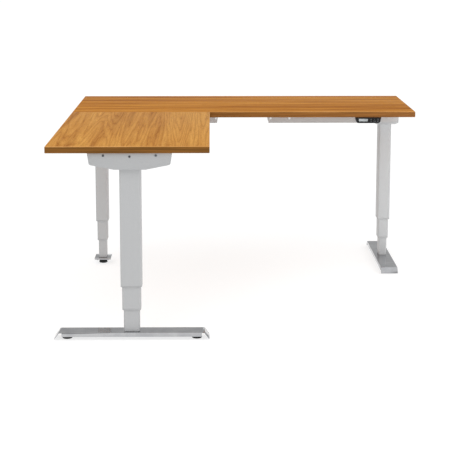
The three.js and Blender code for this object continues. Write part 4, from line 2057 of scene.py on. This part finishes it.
@dataclass
class Beams:
    """Channel beams, inner rails and the corner joint of the frame."""

    finishes: Finishes
    sheet: float = 2.0
    bend: float = 2.0
    inner_bend_share: float = 0.4
    lip_edge: float = 0.5
    slant: float = 7.0
    rail_corners: Point2 = (2.5, 0.8)
    slot_count: int = 9
    # share of a rail's length that its row of slots takes
    slot_reach: float = 0.86
    slot_size: Point3 = (22.0, 8.5, 6.0)
    plate_corner: float = 8.0
    plate_chamfer: float = 0.5
    lock_screw_level: float = 22.0
    # distance of the lock screws from a beam's inner end, and from the left main beam's
    lock_screws: Point2 = (16.0, 102.0)
    left_lock_screws: Point2 = (12.0, 98.0)
    # shares of the joint plate's size
    bolt_columns: Point2 = (0.18, 0.82)
    bolt_rows: tuple[float, ...] = (0.12, 0.36, 0.62, 0.88)

    def build(self, fasteners: Fasteners) -> None:
        """Build all beams, rails and the joint plate with their bolts.

        Args:
            fasteners: Seats the bolts.
        """
        self._channel("main_beam_right", 0, Side.LOW)
        self._channel("main_beam_left", 0, Side.HIGH)
        self._channel("return_beam_front", 1, Side.HIGH)
        self._channel("return_beam_rear", 1, Side.LOW)
        self._rail("main_inner_rail", 0)
        self._rail("return_inner_rail", 1)
        self._joint_plate()
        self._bolts(fasteners)

    def _section(self, half_w: float, low: float, high: float) -> list[Point2]:
        """Outline of the channel, open at the bottom.

        Args:
            half_w: Half of its width.
            low: Bottom level.
            high: Top level.

        Returns:
            Outline, counter-clockwise seen along the beam.
        """
        t = self.sheet * MM
        r = self.bend * MM
        corners = [
            (half_w, low),
            (half_w, high),
            (-half_w, high),
            (-half_w, low),
            (-half_w + t, low),
            (-half_w + t, high - t),
            (half_w - t, high - t),
            (half_w - t, low),
        ]
        lip = self.lip_edge * MM
        inner = r * self.inner_bend_share
        return rounded_polygon(corners, [lip, r, r, lip, lip, inner, inner, lip], 4)

    def _channel(self, node: str, axis: int, slanted: Side) -> None:
        """One channel beam with a slanted free end.

        Args:
            node: CAD node it stands for.
            axis: 0 along X, 1 along Y.
            slanted: Which end is slanted.
        """
        low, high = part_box(node)
        centre = (low + high) / 2
        half_w = (high.y - low.y) / 2 if axis == 0 else (high.x - low.x) / 2
        outline = self._section(half_w, low.z, high.z)
        start, end = (low.x, high.x) if axis == 0 else (low.y, high.y)
        rings = []
        for where, is_end in ((start, Side.LOW), (end, Side.HIGH)):
            ring = []
            for v, z in outline:
                lean = 0.0
                if is_end is slanted:
                    lean = self.slant * MM * (high.z - z) / (high.z - low.z)
                u = where - lean * is_end.value
                ring.append(
                    Vector((u, centre.y + v, z)) if axis == 0 else Vector((centre.x - v, u, z))
                )
            rings.append(ring)
        bm = loft(rings)
        bmesh.ops.recalc_face_normals(bm, faces=bm.faces)
        obj = new_object(node + "_coated", bm)
        shade(obj, 35)
        dress(obj, "desktop", [self.finishes.frame], [node])

    def _rail(self, node: str, axis: int) -> None:
        """Box rail with a row of adjustment slots through its bottom.

        Args:
            node: CAD node it stands for.
            axis: 0 along X, 1 along Y.
        """
        low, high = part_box(node)
        centre = (low + high) / 2
        length = (high.x - low.x) if axis == 0 else (high.y - low.y)
        width = (high.y - low.y) if axis == 0 else (high.x - low.x)
        height = high.z - low.z
        t = self.sheet * MM
        outer_corner, inner_corner = (corner * MM for corner in self.rail_corners)
        outer = rounded_rectangle(width, height, outer_corner, 4)
        inner = rounded_rectangle(width - 2 * t, height - 2 * t, inner_corner, 4)
        rings = []
        for u, ring in ((-1, outer), (1, outer), (1, inner), (-1, inner)):
            points = []
            for v, z in ring:
                if axis == 0:
                    points.append(Vector((centre.x + u * length / 2, centre.y + v, centre.z + z)))
                else:
                    points.append(Vector((centre.x - v, centre.y + u * length / 2, centre.z + z)))
            rings.append(points)
        bm = loft(rings, closed_loop=True)
        bmesh.ops.recalc_face_normals(bm, faces=bm.faces)
        obj = new_object(node + "_plated", bm)
        obj.data.materials.append(self.finishes.zinc)
        count = self.slot_count
        step = length * self.slot_reach / (count - 1)
        along = Vector((1, 0, 0)) if axis == 0 else Vector((0, 1, 0))
        start = Vector((centre.x, centre.y, low.z)) - along * step * (count - 1) / 2
        long_side, short_side, depth = (size * MM for size in self.slot_size)
        plan = (long_side, short_side) if axis == 0 else (short_side, long_side)
        values = {
            "Start": tuple(start),
            "Step": tuple(along * step),
            "Count": count,
            "Slot Size": (*plan, depth),
        }
        run_tree(obj, slot_cut_tree(self.finishes.zinc), values)
        shade(obj, 35)
        dress(obj, "desktop", [self.finishes.zinc], [node])

    def _joint_plate(self) -> None:
        """Flat plate under the corner of the frame."""
        node = "corner_joint_plate"
        bm = flat_plate(*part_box(node), self.plate_corner * MM, self.plate_chamfer * MM)
        obj = new_object(node + "_coated", bm)
        shade(obj)
        dress(obj, "desktop", [self.finishes.frame], [node])

    def _bolts(self, fasteners: Fasteners) -> None:
        """Lock screws in the beam sides and bolts through the joint plate.

        Args:
            fasteners: Seats them.
        """
        low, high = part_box("main_beam_right")
        left_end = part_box("main_beam_left")[1].x
        front_low, front_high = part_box("return_beam_front")
        rear_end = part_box("return_beam_rear")[0].y
        level = low.z + self.lock_screw_level * MM
        main_places = [low.x + out * MM for out in self.lock_screws]
        main_places += [left_end - out * MM for out in self.left_lock_screws]
        return_places = [front_high.y - out * MM for out in self.lock_screws]
        return_places += [rear_end + out * MM for out in self.lock_screws]
        places = []
        for y, facing in ((low.y, -1), (high.y, 1)):
            places += [(Vector((x, y, level)), Vector((0, facing, 0))) for x in main_places]
        for x, facing in ((front_low.x, -1), (front_high.x, 1)):
            places += [(Vector((x, y, level)), Vector((facing, 0, 0))) for y in return_places]
        fasteners.seat(
            "beam_lock_screws", "desktop", places, LOCK_SCREW, Recess.HEX, self.finishes.bright
        )
        seats = seats_under(*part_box("corner_joint_plate"), self.bolt_columns, self.bolt_rows)
        fasteners.seat(
            "joint_plate_bolts", "desktop", seats, FRAME_BOLT, Recess.HEX, self.finishes.zinc
        )


@dataclass
class ControlBox:
    """Control box under the main top, with vents and empty sockets."""

    finishes: Finishes
    screw_inset: float = 9.0
    edge: float = 0.5
    vent_count: int = 12
    vent_step: float = 9.0
    vent_size: Point3 = (2.4, 46.0, 3.0)

    def build(self, fasteners: Fasteners) -> None:
        """Build the case and the lid.

        Args:
            fasteners: Seats the lid's screws.
        """
        for node in ("control_box_case", "control_box_lid"):
            self._shell(node)
        low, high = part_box("control_box_lid")
        inset = self.screw_inset * MM
        seats = []
        for x in (low.x + inset, high.x - inset):
            for y in (low.y + inset, high.y - inset):
                seats.append((Vector((x, y, low.z)), DOWN))
        fasteners.seat(
            "control_box_screws", "desktop", seats, CASE_SCREW, Recess.CROSS, self.finishes.zinc
        )

    def _shell(self, node: str) -> None:
        """Copy of the CAD shell with eased edges, and vent slots in the lid.

        Args:
            node: CAD node it stands for.
        """
        obj = merged_copy(node, node + "_moulded")
        obj.data.materials.clear()
        obj.data.materials.append(self.finishes.black)
        if node == "control_box_lid":
            low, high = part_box(node)
            step = self.vent_step * MM
            middle = (low + high) / 2
            values = {
                "Start": (middle.x - step * (self.vent_count - 1) / 2, middle.y, low.z),
                "Step": (step, 0.0, 0.0),
                "Count": self.vent_count,
                "Slot Size": tuple(size * MM for size in self.vent_size),
            }
            run_tree(obj, slot_cut_tree(self.finishes.black), values)
        bevel_edges(obj, self.edge * MM, 2, 40)
        bake_modifiers(obj)
        shade(obj, 30)
        dress(obj, "desktop", [self.finishes.black], [node])


@dataclass
class Handset:
    """Push-button handset under the front edge of the main top."""

    finishes: Finishes
    case_edge: float = 0.35
    plug_corner: float = 1.6
    window_edge: float = 0.4
    key_edge: float = 0.5
    # distance of the two screws from the case's sides, its rear and its top
    screws_in: Point3 = (20.0, 5.0, 12.0)
    mark_depth: float = 0.12
    dot_radius: float = 0.75
    dot_step: float = 2.4

    def build(self, fasteners: Fasteners) -> None:
        """Build the case, window, keys and marks.

        Args:
            fasteners: Seats the two screws under the rear lip.
        """
        self._case()
        self._window()
        for name in (
            "button_up",
            "button_memory_1",
            "button_memory_2",
            "button_down",
            "button_memory_3",
            "button_store",
        ):
            self._key(name)
        low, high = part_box("handset_case")
        side, rear, drop = (inset * MM for inset in self.screws_in)
        seats = [
            (Vector((x, high.y - rear, high.z - drop)), DOWN) for x in (low.x + side, high.x - side)
        ]
        fasteners.seat(
            "handset_screws", "desktop", seats, WOOD_SCREW, Recess.CROSS, self.finishes.zinc
        )

    def _case(self) -> None:
        """Case copied from the CAD solid, merged and with eased edges."""
        obj = merged_copy("handset_case", "handset_case_moulded")
        bevel_edges(obj, self.case_edge * MM, 3, 35)
        bake_modifiers(obj)
        shade(obj, 35)
        dress(obj, "desktop", [self.finishes.black], ["handset_case"])

    def _window(self) -> None:
        """Display window with an eased rim."""
        window = self.finishes.display
        self._plug(
            "handset_display", "_window", self.window_edge, "desktop", window
        )

    def _plug(
        self,
        node: str,
        suffix: str,
        rim: float,
        body: str,
        material: bpy.types.Material,
    ) -> None:
        """Rounded block that faces the user.

        Args:
            node: CAD node it stands for.
            suffix: End of the piece's name.
            rim: Edge rounding in millimetres.
            body: CAD body it rides on.
            material: Finish.
        """
        low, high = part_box(node)
        outline = rounded_rectangle(high.x - low.x, high.z - low.z, self.plug_corner * MM, 5)
        bm = extrude_outline(outline, -high.y, -low.y, facing_user(low, high), rim * MM)
        obj = new_object(node + suffix, bm)
        shade(obj, 50)
        dress(obj, body, [material], [node])

    def _key(self, node: str) -> None:
        """One key with its printed mark.

        Args:
            node: CAD node it stands for.
        """
        low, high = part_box(node)
        body = node + "_cap"
        self._plug(node, "_key", self.key_edge, body, self.finishes.keys)
        arrows = {
            "button_up": [(-2.2, -1.0), (2.2, -1.0), (0.0, 1.5)],
            "button_down": [(-2.2, 1.0), (0.0, -1.5), (2.2, 1.0)],
            "button_store": [(-1.6, -1.0), (1.6, -1.0), (1.6, 1.0), (-1.6, 1.0)],
        }
        dots = {"button_memory_1": 1, "button_memory_2": 2, "button_memory_3": 3}
        turns = [k * math.pi / 6 for k in range(12)]
        radius = self.dot_radius
        outlines = []
        if node in arrows:
            outlines.append([(x * MM, z * MM) for x, z in arrows[node]])
        for i in range(dots.get(node, 0)):
            middle = (i - (dots[node] - 1) / 2) * self.dot_step
            outlines.append(
                [((middle + radius * math.cos(a)) * MM, radius * math.sin(a) * MM) for a in turns]
            )
        depth = self.mark_depth * MM
        frame = facing_user(low, high)
        parts = [
            extrude_outline(outline, -low.y - depth, -low.y + depth, frame) for outline in outlines
        ]
        obj = new_object(node + "_mark", join_meshes(parts))
        dress(obj, body, [self.finishes.mark])


@dataclass(frozen=True)
class Softbox:
    """One rectangular light, in metres and watts."""

    name: str
    place: Point3
    target: Point3
    size: Point2
    watts: float

    def build(self) -> None:
        """Add the light, aimed at its target and hidden from mirrors."""
        data = bpy.data.lights.new(self.name, "AREA")
        data.shape = "RECTANGLE"
        data.size, data.size_y = self.size
        data.energy = self.watts
        light = bpy.data.objects.new(self.name, data)
        light.location = self.place
        aim = Vector(self.target) - Vector(self.place)
        light.rotation_euler = aim.to_track_quat("-Z", "Y").to_euler()
        light.visible_glossy = False
        light.visible_camera = False
        bpy.context.scene.collection.objects.link(light)


@dataclass
class Studio:
    """White paper floor, soft light, and the camera."""

    floor_half: float = 60.0
    floor_drop_mm: float = 0.3
    camera_at: Point3 = (-0.1456, -5.738, 1.465)
    pitch_deg: float = 9.88
    yaw_deg: float = 0.60
    focal_px: float = 1368.0
    frame_px: float = 450.0
    shift_y: float = -0.10
    sky_strength: float = 1.12
    # height and grey of the surround, from the horizon to straight up
    sky_greys: tuple[tuple[float, str], ...] = (
        (0.0, "#ffffff"),
        (0.07, "#e0e0e0"),
        (0.14, "#b4b4b4"),
        (0.34, "#b4b4b4"),
        (0.56, "#ececec"),
        (1.0, "#ffffff"),
    )
    softboxes: tuple[Softbox, ...] = (
        Softbox("key_softbox", (-2.6, -3.4, 4.4), (0.0, 0.0, 0.5), (3.4, 3.4), 60.0),
        Softbox("fill_softbox", (1.5, -1.1, 0.6), (0.65, 0.45, 0.5), (1.2, 0.9), 14.0),
        Softbox("front_softbox", (-1.3, -3.2, 0.7), (-0.44, -0.8, 0.5), (1.0, 0.8), 6.0),
    )

    def build(self) -> None:
        """Build floor, world, lights and camera."""
        self._floor()
        self._world()
        for softbox in self.softboxes:
            softbox.build()
        self._camera()

    def _floor(self) -> None:
        """Large matt floor just under the glides."""
        bm = bmesh.new()
        s = self.floor_half
        level = -self.floor_drop_mm * MM
        corners = [(-s, -s), (s, -s), (s, s), (-s, s)]
        bm.faces.new([bm.verts.new((x, y, level)) for x, y in corners])
        floor = new_object("studio_floor", bm)
        floor.data.materials.append(StudioFloor("white_floor_paper").build())

    def _world(self) -> None:
        """Soft surround: bright overhead, calmer grey above the horizon."""
        world = bpy.data.worlds.new("soft_surround")
        bpy.context.scene.world = world
        world.use_nodes = True
        tree = world.node_tree
        background = tree.nodes["Background"]
        coords = add_node(tree, "ShaderNodeTexCoord").outputs["Generated"]
        level = add_node(tree, "ShaderNodeSeparateXYZ", inputs={0: coords}).outputs["Z"]
        sky = add_node(
            tree, "ShaderNodeValToRGB", inputs={"Fac": level}, stops=self.sky_greys
        )
        tree.links.new(sky.outputs["Color"], background.inputs["Color"])
        background.inputs["Strength"].default_value = self.sky_strength

    def _camera(self) -> None:
        """Camera that looks slightly down with a small vertical shift."""
        data = bpy.data.cameras.new("studio_camera")
        data.sensor_width = 36.0
        data.lens = self.focal_px / self.frame_px * data.sensor_width
        data.shift_x = 0.0
        data.shift_y = self.shift_y
        data.clip_end = 200.0
        camera = bpy.data.objects.new("studio_camera", data)
        camera.location = self.camera_at
        camera.rotation_euler = (
            math.radians(90.0 - self.pitch_deg),
            0.0,
            math.radians(-self.yaw_deg),
        )
        bpy.context.scene.collection.objects.link(camera)
        bpy.context.scene.camera = camera
        bpy.context.scene.view_settings.view_transform = "Standard"


def main() -> None:
    """Build the desk around the frame, class by class."""
    logging.basicConfig(level=logging.INFO, format="%(name)s: %(message)s")
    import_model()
    Studio().build()
    finishes = Finishes()
    fasteners = Fasteners()
    tops = Tops(finishes)
    tops.build()
    fasteners.seat(
        "seam_plate_screws", "desktop", tops.screw_seats(), WOOD_SCREW, Recess.CROSS, finishes.zinc
    )
    for leg in ("right", "corner", "front"):
        Column(leg, finishes).build()
        Foot(leg, finishes, long_foot=leg != "corner").build(fasteners)
        HeadBracket(leg, finishes).build(fasteners)
    Beams(finishes).build(fasteners)
    ControlBox(finishes).build(fasteners)
    Handset(finishes).build(fasteners)


if __name__ == "__main__":
    main()
